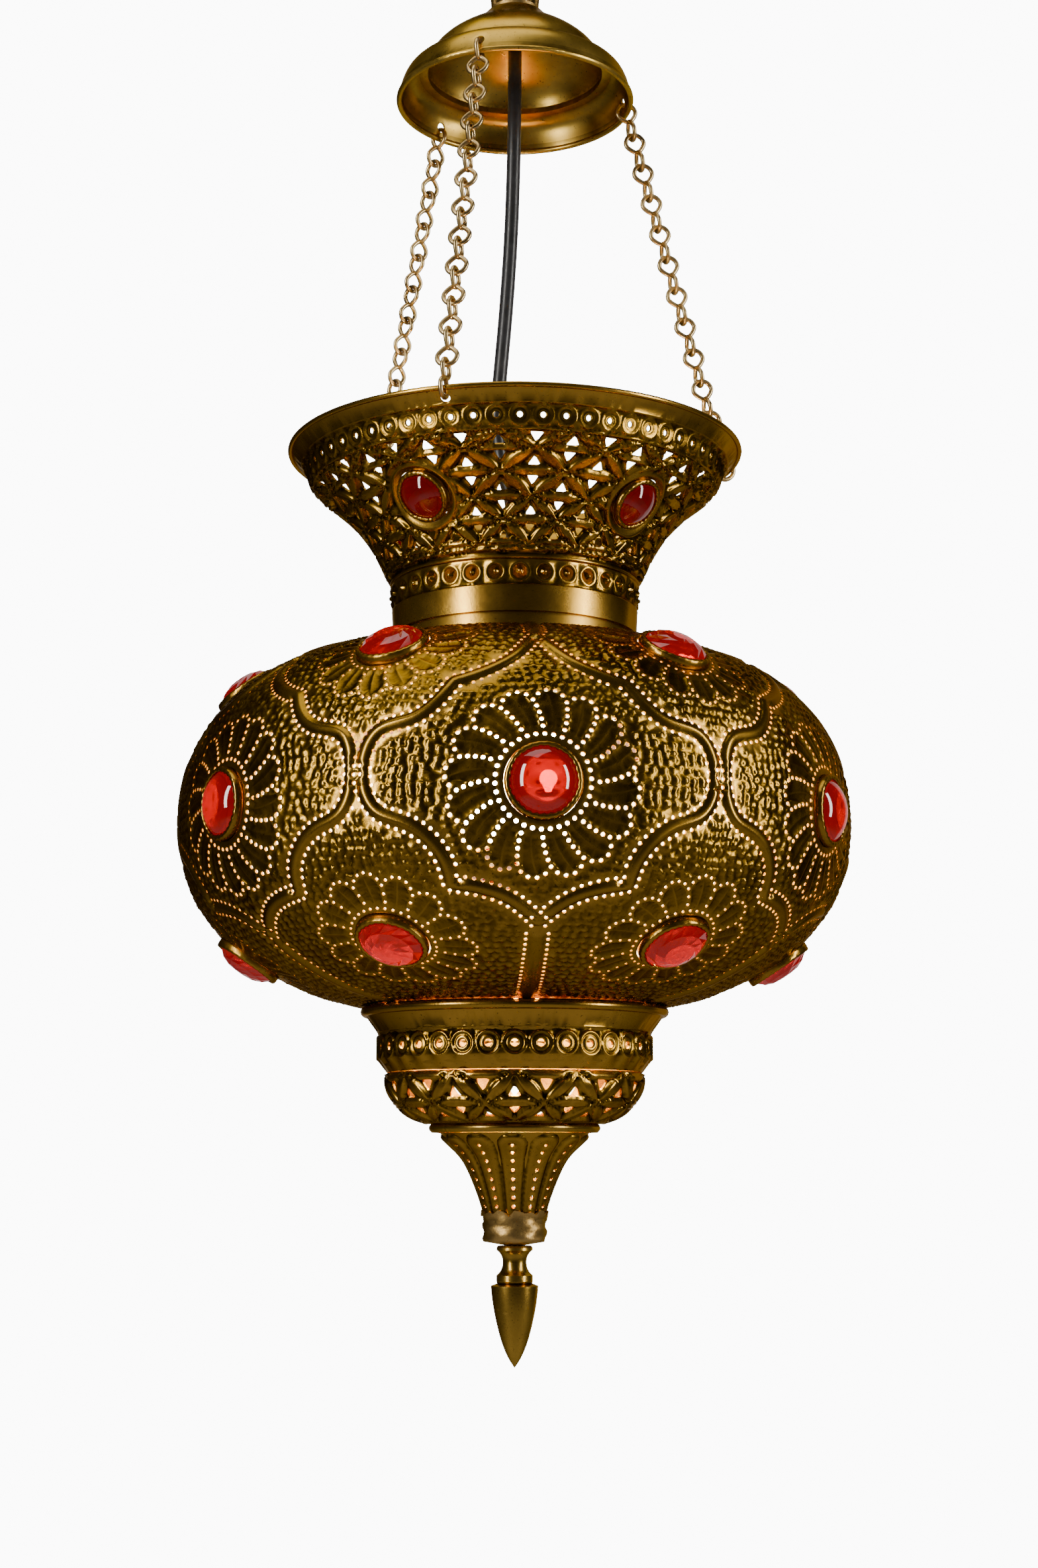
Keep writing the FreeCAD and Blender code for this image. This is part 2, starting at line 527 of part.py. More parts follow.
def tail_core():
    """The space that the tail fills, for fitting the ferrule round it."""
    return turned(TAIL_OUTLINE, [(TAIL_OUTLINE[-1][0], TAIL_END)], [(0, TAIL_END)], [(0, TAIL_OUTLINE[0][1])])


def ferrule():
    floor = [[(STUD_R, FERRULE_OUTLINE[-1][1])], [(STUD_R, FERRULE_FLOOR)]]
    cup = turned(FERRULE_OUTLINE, *floor, *[[point] for point in FERRULE_INSIDE])
    return solid_of(cup.cut(tail_core()))


def finial():
    stud = disc(STUD_R, STUD_LOW, STUD_TOP)
    stem = turned([(0, FINIAL_COLLAR[0][1]), FINIAL_COLLAR[0]], FINIAL_COLLAR[:2], FINIAL_COLLAR[1:], FINIAL_NECK,
                  FINIAL_BEAD[:2], FINIAL_BEAD[1:3], FINIAL_BEAD[2:], [FINIAL_BODY[0]], FINIAL_BODY)
    return stem.fuse(stud).removeSplitter()


# ---------------------------------------------------------------- lampholder
def holder_strap():
    """Bridge across the neck: a ring under the holder's flange and two arms."""
    bar = Part.makeBox(2 * STRAP_HALF, STRAP_WIDTH, STRAP_TOP - STRAP_LOW,
                       V(-STRAP_HALF, -STRAP_WIDTH / 2, STRAP_LOW - DROP))
    bar = bar.common(disc(STRAP_HALF, STRAP_LOW, STRAP_TOP))
    eye = disc(HOLDER_R + HOLDER_FREE, STRAP_LOW - 1, STRAP_TOP + 1)
    bridge = bar.fuse(disc(STRAP_EYE_R, STRAP_LOW, STRAP_TOP)).cut(eye)
    for side in (-1, 1):
        bridge = bridge.cut(disc(STRAP_SCREW_R, 320, 330, side * STRAP_SCREW_X))
    return bridge.removeSplitter()


def strap_screws():
    screws = []
    for side in (-1, 1):
        shank = disc(STRAP_SCREW_R, STRAP_SHANK_LOW, STRAP_TOP, side * STRAP_SCREW_X)
        head = disc(STRAP_HEAD_R, STRAP_TOP, STRAP_TOP + STRAP_HEAD, side * STRAP_SCREW_X)
        screws.append(shank.fuse(head).removeSplitter())
    return Part.makeCompound(screws)


def strap_nuts():
    nuts = []
    for side in (-1, 1):
        nut = hex_nut(STRAP_NUT_ACROSS, STRAP_SCREW_R, NECK_RING_FOOT - STRAP_NUT_DEPTH, NECK_RING_FOOT)
        nut.translate(V(side * STRAP_SCREW_X, 0, 0))
        nuts.append(nut)
    return Part.makeCompound(nuts)


def holder_body():
    skirt = tube(HOLDER_R, HOLDER_BORE, HOLDER_BOTTOM, HOLDER_TOP)
    flange = tube(HOLDER_FLANGE_R, HOLDER_BORE, STRAP_TOP, STRAP_TOP + HOLDER_FLANGE)
    return skirt.fuse(flange).removeSplitter()


def holder_cap():
    return turned([(HOLDER_R, HOLDER_TOP), CAP_OUTSIDE[0]], CAP_OUTSIDE, [(CAP_HOLE_R, CAP_TOP)],
                  [(CAP_HOLE_R, CAP_UNDER)], CAP_INSIDE, [(CAP_INSIDE[-1][0], HOLDER_TOP)])


def cord_grip():
    """Tapered sleeve where the cord enters the holder, held under the cap by a flange."""
    taper = Part.makeCone(CAP_HOLE_R, GRIP_TIP_R, GRIP_TAPER, V(0, 0, CAP_UNDER - DROP))
    flange = disc(GRIP_FLANGE_R, CAP_UNDER - GRIP_FLANGE, CAP_UNDER)
    bore = disc(CORD_R + GRIP_FREE, CAP_UNDER - 5, CAP_UNDER + GRIP_TAPER + 5)
    return taper.fuse(flange).removeSplitter().cut(bore)


def holder_insert():
    """Porcelain base that carries the screw shell and the centre contact."""
    base = disc(HOLDER_BORE - HOLDER_FREE, INSERT_LOW, HOLDER_TOP - 0.2)
    return base.cut(disc(INSERT_POCKET_R, INSERT_LOW - 1, CONTACT_TOP))


def bulb_glass():
    """Pear-shaped envelope, round at the bottom, closed in the cap by its stem's flare."""
    wrap, below = math.radians(GLASS_WRAP), math.radians(GLASS_LOW)
    neck_r, neck_h = GLASS_NECK[0]

    def skin(offset):
        radius = BULB_R - offset
        tangent_point = (radius * math.cos(wrap), BULB_MIDDLE + radius * math.sin(wrap))
        neck = curve([(r - offset, h) for r, h in GLASS_NECK] + [tangent_point])
        low = at(radius * math.cos(below), BULB_MIDDLE - radius * math.sin(below))
        pear = Part.Arc(at(*tangent_point), low, at(0, BULB_MIDDLE - radius)).toShape()
        return neck, pear

    outer, inner = skin(0.0), skin(GLASS_WALL)
    bottom = line(at(0, BULB_MIDDLE - BULB_R), at(0, BULB_MIDDLE - BULB_R + GLASS_WALL))
    top = line(at(neck_r, neck_h), at(neck_r - GLASS_WALL, neck_h))
    face = Part.Face(Part.Wire(Part.__sortEdges__([*outer, bottom, *inner, top])))
    return solid_of(face.revolve(V(0, 0, 0), UP, 360))


def bulb_cap():
    bore, thin = BULB_CAP_R - CAP_WALL, 0.4
    return turned([(BULB_CAP_R, BULB_CAP_LOW), (BULB_CAP_R, CAP_SHOULDER)], [(CAP_TIP_R, CAP_TIP)],
                  [(CAP_TIP_R - CAP_WALL, CAP_TIP - thin)], [(bore, CAP_SHOULDER - thin)], [(bore, BULB_CAP_LOW)])


def bulb_filament():
    """Glass stem, two lead wires and the coil, each a solid of its own."""
    stem = Part.makeCone(STEM_R, STEM_TIP_R, STEM_LENGTH, V(0, 0, STEM_TOP - DROP), V(0, 0, -1))
    coil = Part.makeTorus(COIL_R, COIL_WIRE_R, V(0, 0, COIL_H - DROP), UP, 0, 360, COIL_TURN)
    leads, arms = [], []
    for side in (-1, 1):
        foot = V(side * LEAD_X, 0, LEAD_LOW - DROP)
        leads.append(Part.makeCylinder(LEAD_R, LEAD_TOP - LEAD_LOW, foot))
        arms.append(Part.makeCylinder(LEAD_R, COIL_R - LEAD_X, foot - UP * LEAD_R, V(side, 0, 0)))
    return solid_of(stem.fuse(leads + arms + [coil]).removeSplitter())


# ---------------------------------------------------------------- assembly
def row_angles(offset):
    return [hand_laid(STONE_START + offset + 60 * k) for k in range(6)]


def build():
    rows = {
        "equator": stone_row(BODY_OUTLINE, STONE_HEIGHTS["equator"], row_angles(0), STONE_R, STONE_DOME),
        "upper": stone_row(BODY_OUTLINE, STONE_HEIGHTS["upper"], row_angles(30), STONE_R, STONE_DOME),
        "lower": stone_row(BODY_OUTLINE, STONE_HEIGHTS["lower"], row_angles(30), STONE_R, STONE_DOME),
        "gallery": stone_row(GALLERY_FLARE, GALLERY_STONE_H, GALLERY_STONE_ANGLES, GALLERY_STONE_R,
                             GALLERY_STONE_DOME),
    }
    body_holes = [hole for name in ("equator", "upper", "lower") for hole in rows[name][2]]
    body_upper, body_lower = body_halves(body_holes)
    bracket_low, washer_low = DROP - BRACKET_THICK, CANOPY_TOP - SHEET - WASHER_THICK
    parts = {
        "ceiling_bracket": ceiling_bracket(),
        "ceiling_rose": ceiling_rose(),
        "ceiling_hook": ceiling_hook(),
        "hook_nut": hex_nut(HOOK_NUT_ACROSS, HOOK_R, bracket_low - HOOK_NUT_DEPTH, bracket_low),
        "rose_bush": rose_bush(),
        "terminal_block": terminal_block(),
        "hanger_loop": hanger_loop(),
        "hanger_tube": tube(TUBE_R, TUBE_BORE, TUBE_LOW, CANOPY_TOP + TUBE_ENTRY),
        "canopy": canopy(),
        "canopy_washer": tube(WASHER_R, TUBE_R + TUBE_FREE, washer_low, CANOPY_TOP - SHEET),
        "canopy_nut": hex_nut(CANOPY_NUT_ACROSS, TUBE_R, washer_low - CANOPY_NUT_DEPTH, washer_low),
        "gallery": gallery(rows["gallery"][2]),
        "neck_band": neck_band(),
        "neck_ring": neck_ring(),
        "body_upper": body_upper,
        "body_lower": body_lower,
        "collar": collar(),
        "pierced_bowl": pierced_bowl(),
        "bowl_ring": bowl_ring(),
        "tail_cone": tail_cone(),
        "ferrule": ferrule(),
        "finial": finial(),
        "finial_nut": hex_nut(FINIAL_NUT_ACROSS, STUD_R, FERRULE_FLOOR, FERRULE_FLOOR + FINIAL_NUT_DEPTH),
        "holder_strap": holder_strap(),
        "strap_screws": strap_screws(),
        "strap_nuts": strap_nuts(),
        "holder_body": holder_body(),
        "shade_ring": tube(SHADE_RING_R, HOLDER_R, STRAP_LOW - SHADE_RING, STRAP_LOW),
        "holder_cap": holder_cap(),
        "cord_grip": cord_grip(),
        "holder_insert": holder_insert(),
        "holder_shell": tube(SHELL_R, SHELL_BORE, SHELL_LOW, INSERT_LOW),
        "holder_contact": disc(CONTACT_R, CONTACT_LOW, CONTACT_TOP),
        "bulb_contact": disc(TIP_R, TIP_LOW, TIP_TOP),
        "bulb_cap": bulb_cap(),
        "bulb_glass": bulb_glass(),
        "bulb_filament": bulb_filament(),
    }
    for name, (stones, cups, _) in rows.items():
        parts[name + "_stones"] = stones
        parts[name + "_bezels"] = cups
    for name, angle in CHAIN_ANGLES.items():
        parts["chain_" + name] = chain(angle)
    for name, route in (("cord_upper", CORD_UPPER), ("cord_lower", CORD_LOWER)):
        solid, path, radii = swept(route, CORD_R)
        parts[name] = solid
        expected = math.pi * CORD_R ** 2 * path.Length
        print(f"{name}: length {path.Length:.1f}, volume {solid.Volume:.0f} of {expected:.0f}, "
              f"arc radii {[round(r) for r in radii]}")
    return parts


os.makedirs("parts", exist_ok=True)
for node, shape in build().items():
    if not shape.isValid():
        print("not valid:", node)
    shape.exportStep(f"parts/{node}.step")
    box = shape.BoundBox
    print(f"{node}: {len(shape.Solids)} solids, {shape.Volume / 1000:.2f} cm3, "
          f"z {box.ZMin:.1f} to {box.ZMax:.1f}, r {max(box.XMax, box.YMax, -box.XMin, -box.YMin):.1f}")
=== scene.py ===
import math

import bpy
import numpy as np
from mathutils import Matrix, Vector
from mathutils.geometry import delaunay_2d_cdt
from mathutils.kdtree import KDTree


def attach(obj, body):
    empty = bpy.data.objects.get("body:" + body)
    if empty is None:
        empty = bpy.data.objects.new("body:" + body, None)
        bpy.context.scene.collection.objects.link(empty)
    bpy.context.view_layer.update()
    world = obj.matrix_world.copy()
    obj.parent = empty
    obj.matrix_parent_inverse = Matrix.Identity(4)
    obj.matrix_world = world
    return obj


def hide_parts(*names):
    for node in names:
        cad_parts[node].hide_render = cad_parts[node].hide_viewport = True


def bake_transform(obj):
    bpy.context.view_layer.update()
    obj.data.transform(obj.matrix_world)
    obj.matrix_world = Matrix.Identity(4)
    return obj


# A hanging lamp of pierced and chased brass. Dimensions below are millimetres, heights are counted up from
# the finial's tip, and angles in degrees from the front (-Y) towards the right (+X).

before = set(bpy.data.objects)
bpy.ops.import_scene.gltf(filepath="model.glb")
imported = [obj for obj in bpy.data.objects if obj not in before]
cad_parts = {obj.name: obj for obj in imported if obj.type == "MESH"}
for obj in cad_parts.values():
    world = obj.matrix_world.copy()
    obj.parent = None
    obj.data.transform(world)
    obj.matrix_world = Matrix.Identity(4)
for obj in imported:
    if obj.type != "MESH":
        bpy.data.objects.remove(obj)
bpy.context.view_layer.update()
random = np.random.default_rng(7)

MM = 0.001
DROP = 772.0
TURN = 2 * math.pi

# ------ camera, light and floor
CAMERA_AT = (0.002, -1.073, -0.678)
CAMERA_PITCH = 9.158
LENS, SENSOR = 53.13, 36.0
FLOOR_Z, FLOOR_SIZE = -1.45, 6.0
SURROUND_SEEN, SURROUND_REFLECTED = (11.0, 11.0, 11.0, 1), (0.05, 0.047, 0.042, 1)
LIGHT_TARGET, LIGHT_COLOUR = (0, 0, -0.45), (1.0, 0.97, 0.92)
SOFTBOXES = {                   # place, width and height in metres, power in watts
    "left_box": ((-1.0, -0.94, -0.15), (0.2, 1.3), 22),
    "right_box": ((1.2, -0.55, -0.25), (0.18, 1.2), 17),
    "back_box": ((0.4, 1.5, -0.1), (2.4, 2.4), 9),
    "top_box": ((-0.2, -0.2, 0.9), (1.0, 1.0), 7),
}


def stand(name, data, place, rotation):
    """Puts a camera or a light in the scene."""
    made = bpy.data.objects.new(name, data)
    made.location, made.rotation_euler = place, rotation
    bpy.context.scene.collection.objects.link(made)
    return made


def add_camera():
    data = bpy.data.cameras.new("photo_camera")
    data.lens, data.sensor_width, data.sensor_fit = LENS, SENSOR, "AUTO"
    rotation = (math.radians(90 + CAMERA_PITCH), 0, 0)
    bpy.context.scene.camera = stand("photo_camera", data, CAMERA_AT, rotation)


def add_softbox(name, place, size, power):
    data = bpy.data.lights.new(name, "AREA")
    data.shape, data.size, data.size_y = "RECTANGLE", size[0], size[1]
    data.energy, data.color = power, LIGHT_COLOUR
    aim = Vector(LIGHT_TARGET) - Vector(place)
    stand(name, data, place, aim.to_track_quat("-Z", "Y").to_euler())


def add_studio():
    """A pale surround, darker in the brass's reflections than behind the lamp, and four soft lights."""
    world = bpy.data.worlds.new("studio")
    bpy.context.scene.world = world
    world.use_nodes = True
    nodes, links = world.node_tree.nodes, world.node_tree.links
    surround = nodes.new("ShaderNodeMixRGB")
    surround.inputs[1].default_value = SURROUND_REFLECTED
    surround.inputs[2].default_value = SURROUND_SEEN
    links.new(nodes.new("ShaderNodeLightPath").outputs["Is Camera Ray"], surround.inputs[0])
    links.new(surround.outputs[0], nodes["Background"].inputs["Color"])
    for name, box in SOFTBOXES.items():
        add_softbox(name, *box)
    bpy.ops.mesh.primitive_plane_add(size=FLOOR_SIZE, location=(0, 0, FLOOR_Z))
    floor = bpy.context.object
    floor.name = "studio_floor"
    floor.data.materials.append(floor_material())


# ------ materials
BUMP_STRENGTH = 0.6


class Paint:
    """Builds one material's node tree a step at a time."""

    def __init__(self, name):
        self.material = bpy.data.materials.new(name)
        self.material.use_nodes = True
        self.nodes = self.material.node_tree.nodes
        self.links = self.material.node_tree.links
        self.shader = self.nodes["Principled BSDF"]
        self.place = self.nodes.new("ShaderNodeTexCoord").outputs["Object"]

    def set(self, **values):
        for name, value in values.items():
            self.shader.inputs[name.replace("_", " ")].default_value = value

    def noise(self, scale, detail=4.0, rough=0.6):
        node = self.nodes.new("ShaderNodeTexNoise")
        node.inputs["Scale"].default_value = scale
        node.inputs["Detail"].default_value = detail
        node.inputs["Roughness"].default_value = rough
        self.links.new(self.place, node.inputs["Vector"])
        return node.outputs["Fac"]

    def ramp(self, value, *stops):
        node = self.nodes.new("ShaderNodeValToRGB")
        self.links.new(value, node.inputs["Fac"])
        marks = node.color_ramp.elements
        while len(marks) < len(stops):
            marks.new(0.5)
        for mark, (position, colour) in zip(marks, stops):
            mark.position = position
            mark.color = (*colour, 1) if isinstance(colour, tuple) else (colour, colour, colour, 1)
        return node.outputs["Color"]

    def clouds(self, scale, low, high):
        return self.ramp(self.noise(scale), low, high)

    def mix(self, share, a, b):
        node = self.nodes.new("ShaderNodeMixRGB")
        for socket, value in zip(node.inputs, (share, a, b)):
            if isinstance(value, bpy.types.NodeSocket):
                self.links.new(value, socket)
            elif isinstance(value, tuple):
                socket.default_value = (*value, 1)
            else:
                socket.default_value = value
        return node.outputs[0]

    def pointiness(self):
        return self.nodes.new("ShaderNodeNewGeometry").outputs["Pointiness"]

    def colour(self, socket):
        self.links.new(socket, self.shader.inputs["Base Color"])

    def roughness(self, socket):
        self.links.new(socket, self.shader.inputs["Roughness"])

    def glow(self, socket, strength):
        self.links.new(socket, self.shader.inputs["Emission Color"])
        self.set(Emission_Strength=strength)

    def bump(self, height, distance):
        node = self.nodes.new("ShaderNodeBump")
        node.inputs["Distance"].default_value = distance
        node.inputs["Strength"].default_value = BUMP_STRENGTH
        self.links.new(height, node.inputs["Height"])
        self.links.new(node.outputs[0], self.shader.inputs["Normal"])


def floor_material():
    """Pale where it is seen, and darker in the brass's reflections, like the surround."""
    paint = Paint("pale_floor")
    seen = paint.nodes.new("ShaderNodeLightPath").outputs["Is Camera Ray"]
    pale = paint.clouds(3.0, (0.3, (0.82, 0.81, 0.80)), (0.7, (0.87, 0.865, 0.855)))
    paint.colour(paint.mix(seen, (0.36, 0.345, 0.32), pale))
    paint.set(Roughness=0.9)
    paint.glow(paint.mix(seen, (0.065, 0.062, 0.06), (1.0, 0.99, 0.97)), 0.85)
    return paint.material


def brass(name, dark, light, polish, rubbed_and_highlit_share, bump=0.00012):
    """Brass with patina and painted shade in its hollows, wear and a painted highlight on its crests, cloudy
    and finely scratched.
    """
    paint = Paint(name)
    cloud = paint.noise(28.0, 6.0)
    speck = paint.noise(900.0, 3.0, 0.7)
    body = paint.mix(paint.ramp(cloud, (0.2, 0.15), (0.62, 1.0)), dark, light)
    # Pointiness lightens the crests, partly wear and partly a painted highlight, and darkens the hollows,
    # partly patina and partly painted shade.
    crest_wear_and_highlight_mask = paint.ramp(paint.pointiness(), (0.49, 0.0), (0.56, 1.0))
    hollow_patina_and_shade_mask = paint.ramp(paint.pointiness(), (0.44, 1.0), (0.498, 0.0))
    rubbed_and_highlit = paint.mix(crest_wear_and_highlight_mask, body, tuple(min(1.0, c * 1.6 + 0.02) for c in light))
    rubbed_and_highlit = paint.mix(rubbed_and_highlit_share, body, rubbed_and_highlit)
    patina_and_shade_colour = tuple(c * 0.25 for c in dark)
    patina_shade_and_highlight = paint.mix(hollow_patina_and_shade_mask, rubbed_and_highlit, patina_and_shade_colour)
    spots = paint.ramp(speck, (0.30, 1.0), (0.36, 0.0))
    paint.colour(paint.mix(spots, patina_shade_and_highlight, tuple(c * 0.5 for c in dark)))
    paint.roughness(paint.ramp(cloud, (0.3, polish), (0.75, polish + 0.16)))
    paint.set(Metallic=1.0, Specular_Tint=(0.55, 0.38, 0.14, 1))
    paint.bump(paint.mix(0.5, speck, paint.noise(160.0, 3.0)), bump)
    return paint.material


def mottled(name, scale, low, high, **values):
    """A material between two colours, each given with its place on the ramp, and with the shader's values."""
    paint = Paint(name)
    paint.colour(paint.clouds(scale, low, high))
    paint.set(**values)
    return paint


def glass_red(name, glow):
    paint = Paint(name)
    cloud = paint.noise(60.0, 3.0)
    paint.colour(paint.ramp(cloud, (0.3, (0.052, 0.0, 0.0)), (0.7, (0.092, 0.0, 0.0))))
    paint.roughness(paint.clouds(220.0, (0.35, 0.02), (0.75, 0.08)))
    paint.set(Transmission_Weight=0.85, IOR=1.5, Coat_Weight=0.25, Coat_Roughness=0.03)
    # The red glow is painted light: it stands in for the bulb's light shining through the stone from inside.
    paint.glow(paint.ramp(cloud, (0.3, (0.80, 0.0, 0.0)), (0.8, (1.0, 0.0, 0.0))), glow)
    return paint.material


def brasses():
    return {
        # The fifth value is how far the crests' wear and painted highlight shows.
        "aged": brass("aged_brass", (0.10, 0.050, 0.004), (0.26, 0.142, 0.012), 0.2, 0.7),
        "stamped": brass("stamped_brass", (0.11, 0.056, 0.005), (0.31, 0.172, 0.017), 0.17, 0.7),
        "bright": brass("bright_brass", (0.16, 0.09, 0.010), (0.41, 0.25, 0.040), 0.19, 0.6),
        "golden": brass("golden_brass", (0.26, 0.15, 0.020), (0.53, 0.345, 0.066), 0.24, 0.4, 0.00006),
        "wire": brass("wire_brass", (0.20, 0.12, 0.04), (0.55, 0.39, 0.17), 0.25, 0.4, 0.00008),
        "cast": brass("cast_brass", (0.14, 0.08, 0.02), (0.38, 0.24, 0.075), 0.3, 0.5, 0.0005),
    }


def plated_steel():
    paint = mottled("plated_steel", 40.0, (0.3, (0.42, 0.41, 0.38)), (0.7, (0.62, 0.61, 0.58)), Metallic=1.0)
    paint.roughness(paint.clouds(300.0, (0.3, 0.2), (0.7, 0.38)))
    paint.bump(paint.noise(700.0), 0.00005)
    return paint.material


def black(name, colour, rough):
    """Flexible or hard black plastic."""
    paint = mottled(name, 120.0, (0.35, colour), (0.7, tuple(c * 1.9 for c in colour)))
    paint.roughness(paint.clouds(260.0, (0.3, rough), (0.75, rough + 0.18)))
    paint.bump(paint.noise(500.0), 0.00006)
    return paint.material


def porcelain():
    paint = mottled("porcelain", 80.0, (0.3, (0.78, 0.76, 0.70)), (0.7, (0.86, 0.84, 0.79)),
                    Roughness=0.25, Coat_Weight=0.4)
    paint.bump(paint.noise(300.0), 0.00005)
    return paint.material


def lit_glass():
    """The bulb's frosted envelope, alight."""
    paint = mottled("lit_glass", 30.0, (0.3, (0.95, 0.93, 0.88)), (0.7, (1.0, 0.98, 0.94)),
                    Roughness=0.25, Transmission_Weight=0.3)
    paint.glow(paint.clouds(25.0, (0.35, (1.0, 0.70, 0.30)), (0.6, (1.0, 0.90, 0.66))), 70.0)
    return paint.material


def lit_lining():
    """The inside of the body, bright with the bulb's light, as it shows through the pin holes."""
    paint = mottled("lit_lining", 50.0, (0.3, (0.62, 0.44, 0.20)), (0.7, (0.80, 0.62, 0.34)),
                    Roughness=0.4, Metallic=0.6)
    paint.glow(paint.clouds(20.0, (0.3, (1.0, 0.90, 0.80)), (0.7, (1.0, 0.97, 0.93))), 4.5)
    return paint.material


def hot_wire():
    return mottled("hot_wire", 90.0, (0.3, (0.9, 0.6, 0.3)), (0.7, (1.0, 0.8, 0.5)),
                   Emission_Strength=30.0, Emission_Color=(1.0, 0.72, 0.35, 1)).material


def make_materials():
    return brasses() | {
        # The stones' glow strengths are painted light from the bulb behind them.
        "red": glass_red("red_glass", 0.2),
        "red_dark": glass_red("dark_red_glass", 0.10),
        "steel": plated_steel(),
        "black_flex": black("black_flex", (0.012, 0.012, 0.013), 0.28),
        "black_plastic": black("black_plastic", (0.02, 0.02, 0.021), 0.42),
        "porcelain": porcelain(),
        "lit_glass": lit_glass(),
        "lit_lining": lit_lining(),
        "hot_wire": hot_wire(),
    }


# ------ outlines and sheets
def full_turn(count):
    return np.linspace(0, TURN, count, endpoint=False)


def level(angles, s):
    """Work coordinates at the given angles and one distance along the outline."""
    return np.column_stack([angles, np.full(len(angles), s)])


def ring_faces(rings, sides, closed):
    """Faces between rings of points that follow each other, and from the last to the first if closed."""
    ring, side = np.divmod(np.arange((rings if closed else rings - 1) * sides), sides)
    following = (side + 1) % sides
    low, high = ring * sides, (ring + 1) % rings * sides
    return np.column_stack([low + side, low + following, high + following, high + side])


def smooth_line(points, step=0.4):
    """Points about a step apart along a natural cubic spline through the given ones."""
    points = np.array(points, float)
    t = np.concatenate([[0], np.cumsum(np.hypot(*np.diff(points, axis=0).T))])
    n = len(points)
    gap = np.diff(t)
    system, right = np.eye(n), np.zeros((n, 2))
    for i in range(1, n - 1):
        system[i, i - 1:i + 2] = gap[i - 1], 2 * (gap[i - 1] + gap[i]), gap[i]
        right[i] = 6 * ((points[i + 1] - points[i]) / gap[i] - (points[i] - points[i - 1]) / gap[i - 1])
    bend = np.linalg.solve(system, right)
    at = np.linspace(0, t[-1], max(3, int(t[-1] / step) + 1))
    i = np.clip(np.searchsorted(t, at) - 1, 0, n - 2)
    left, rest, h = (at - t[i])[:, None], (t[i + 1] - at)[:, None], gap[i][:, None]
    return (bend[i] * rest ** 3 / (6 * h) + bend[i + 1] * left ** 3 / (6 * h)
            + (points[i] / h - bend[i] * h / 6) * rest + (points[i + 1] / h - bend[i + 1] * h / 6) * left)


class Profile:
    """A turned sheet's outline from its lower edge up; the outside is on the right of travel."""

    def __init__(self, *stretches):
        lines = [smooth_line(s) if len(s) > 2 else np.linspace(s[0], s[1], 24) for s in stretches]
        line = np.concatenate([lines[0]] + [piece[1:] for piece in lines[1:]])
        self.s = np.concatenate([[0], np.cumsum(np.hypot(*np.diff(line, axis=0).T))])
        self.length = self.s[-1]
        along = np.gradient(line, self.s, axis=0)
        along /= np.hypot(*along.T)[:, None]
        self.r, self.h = line.T
        self.normal = np.column_stack([along[:, 1], -along[:, 0]])
        mean_r = (self.r[1:] + self.r[:-1]) / 2
        self.even = np.concatenate([[0], np.cumsum(np.diff(self.s) / mean_r)])

    def radius(self, s):
        return np.interp(s, self.s, self.r)

    def at_height(self, h):
        order = np.argsort(self.h)
        return float(np.interp(h, self.h[order], self.s[order]))

    def place(self, angle, s, lift=0.0):
        """Points in metres at an angle (radians) and distance along the outline, lifted along the normal."""
        r = self.radius(s) + lift * np.interp(s, self.s, self.normal[:, 0])
        h = np.interp(s, self.s, self.h) + lift * np.interp(s, self.s, self.normal[:, 1])
        return np.column_stack([r * np.sin(angle), -r * np.cos(angle), h - DROP]) * MM

    def spots(self, work):
        """Places in millimetres of rows of (angle, distance)."""
        return self.place(work[:, 0], work[:, 1]) / MM


def tree_of(spots):
    tree = KDTree(len(spots))
    for index, spot in enumerate(spots.tolist()):
        tree.insert(spot, index)
    tree.balance()
    return tree


def mesh_object(name, points, faces, material, smooth=True):
    mesh = bpy.data.meshes.new(name)
    mesh.from_pydata(points, [], faces)
    mesh.polygons.foreach_set("use_smooth", [smooth] * len(mesh.polygons))
    mesh.materials.append(material)
    mesh.validate()
    mesh.update()
    piece = bpy.data.objects.new(name, mesh)
    bpy.context.scene.collection.objects.link(piece)
    return piece


def finish_piece(piece, body, slot, *nodes):
    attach(piece, body)
    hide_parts(*nodes)


class Shell:
    """A built sheet: its points, faces, and which of the faces are the plain inside."""

    BEAD_COUNT, BEAD_SIDES = 160, 12

    def __init__(self, points, outer, inner, walls):
        self.points = points
        skins = [np.column_stack([tris, tris[:, 2]]) for tris in (outer, inner)]
        self.faces = np.concatenate(skins + [walls])
        self.inside = np.zeros(len(self.faces), bool)
        self.inside[len(outer):len(outer) + len(inner)] = True

    def add_bead(self, middle, radius):
        """A rolled wire edge about the axis, its middle given as (radius, height)."""
        around = np.repeat(full_turn(self.BEAD_COUNT), self.BEAD_SIDES)
        across = np.tile(full_turn(self.BEAD_SIDES), self.BEAD_COUNT)
        r, h = middle[0] + radius * np.cos(across), middle[1] + radius * np.sin(across)
        points = np.column_stack([r * np.sin(around), -r * np.cos(around), h - DROP]) * MM
        faces = len(self.points) + ring_faces(self.BEAD_COUNT, self.BEAD_SIDES, True)[:, [0, 3, 2, 1]]
        self.points = np.concatenate([self.points, points])
        self.faces = np.concatenate([self.faces, faces])
        self.inside = np.concatenate([self.inside, np.zeros(len(faces), bool)])
        return self

    def piece(self, name, material, lining=None, split=None):
        """The whole shell, or the faces above or below a height given as (height in metres, above)."""
        keep = np.ones(len(self.faces), bool)
        if split:
            keep = (self.points[self.faces, 2].mean(axis=1) > split[0]) == split[1]
        used, numbers = np.unique(self.faces[keep], return_inverse=True)
        numbers = numbers.reshape(-1, 4).tolist()
        faces = [face[:3] if face[2] == face[3] else face for face in numbers]
        made = mesh_object(name, self.points[used].tolist(), faces, material)
        if lining is not None:
            made.data.materials.append(lining)
            made.data.polygons.foreach_set("material_index", self.inside[keep].astype(int))
        return made


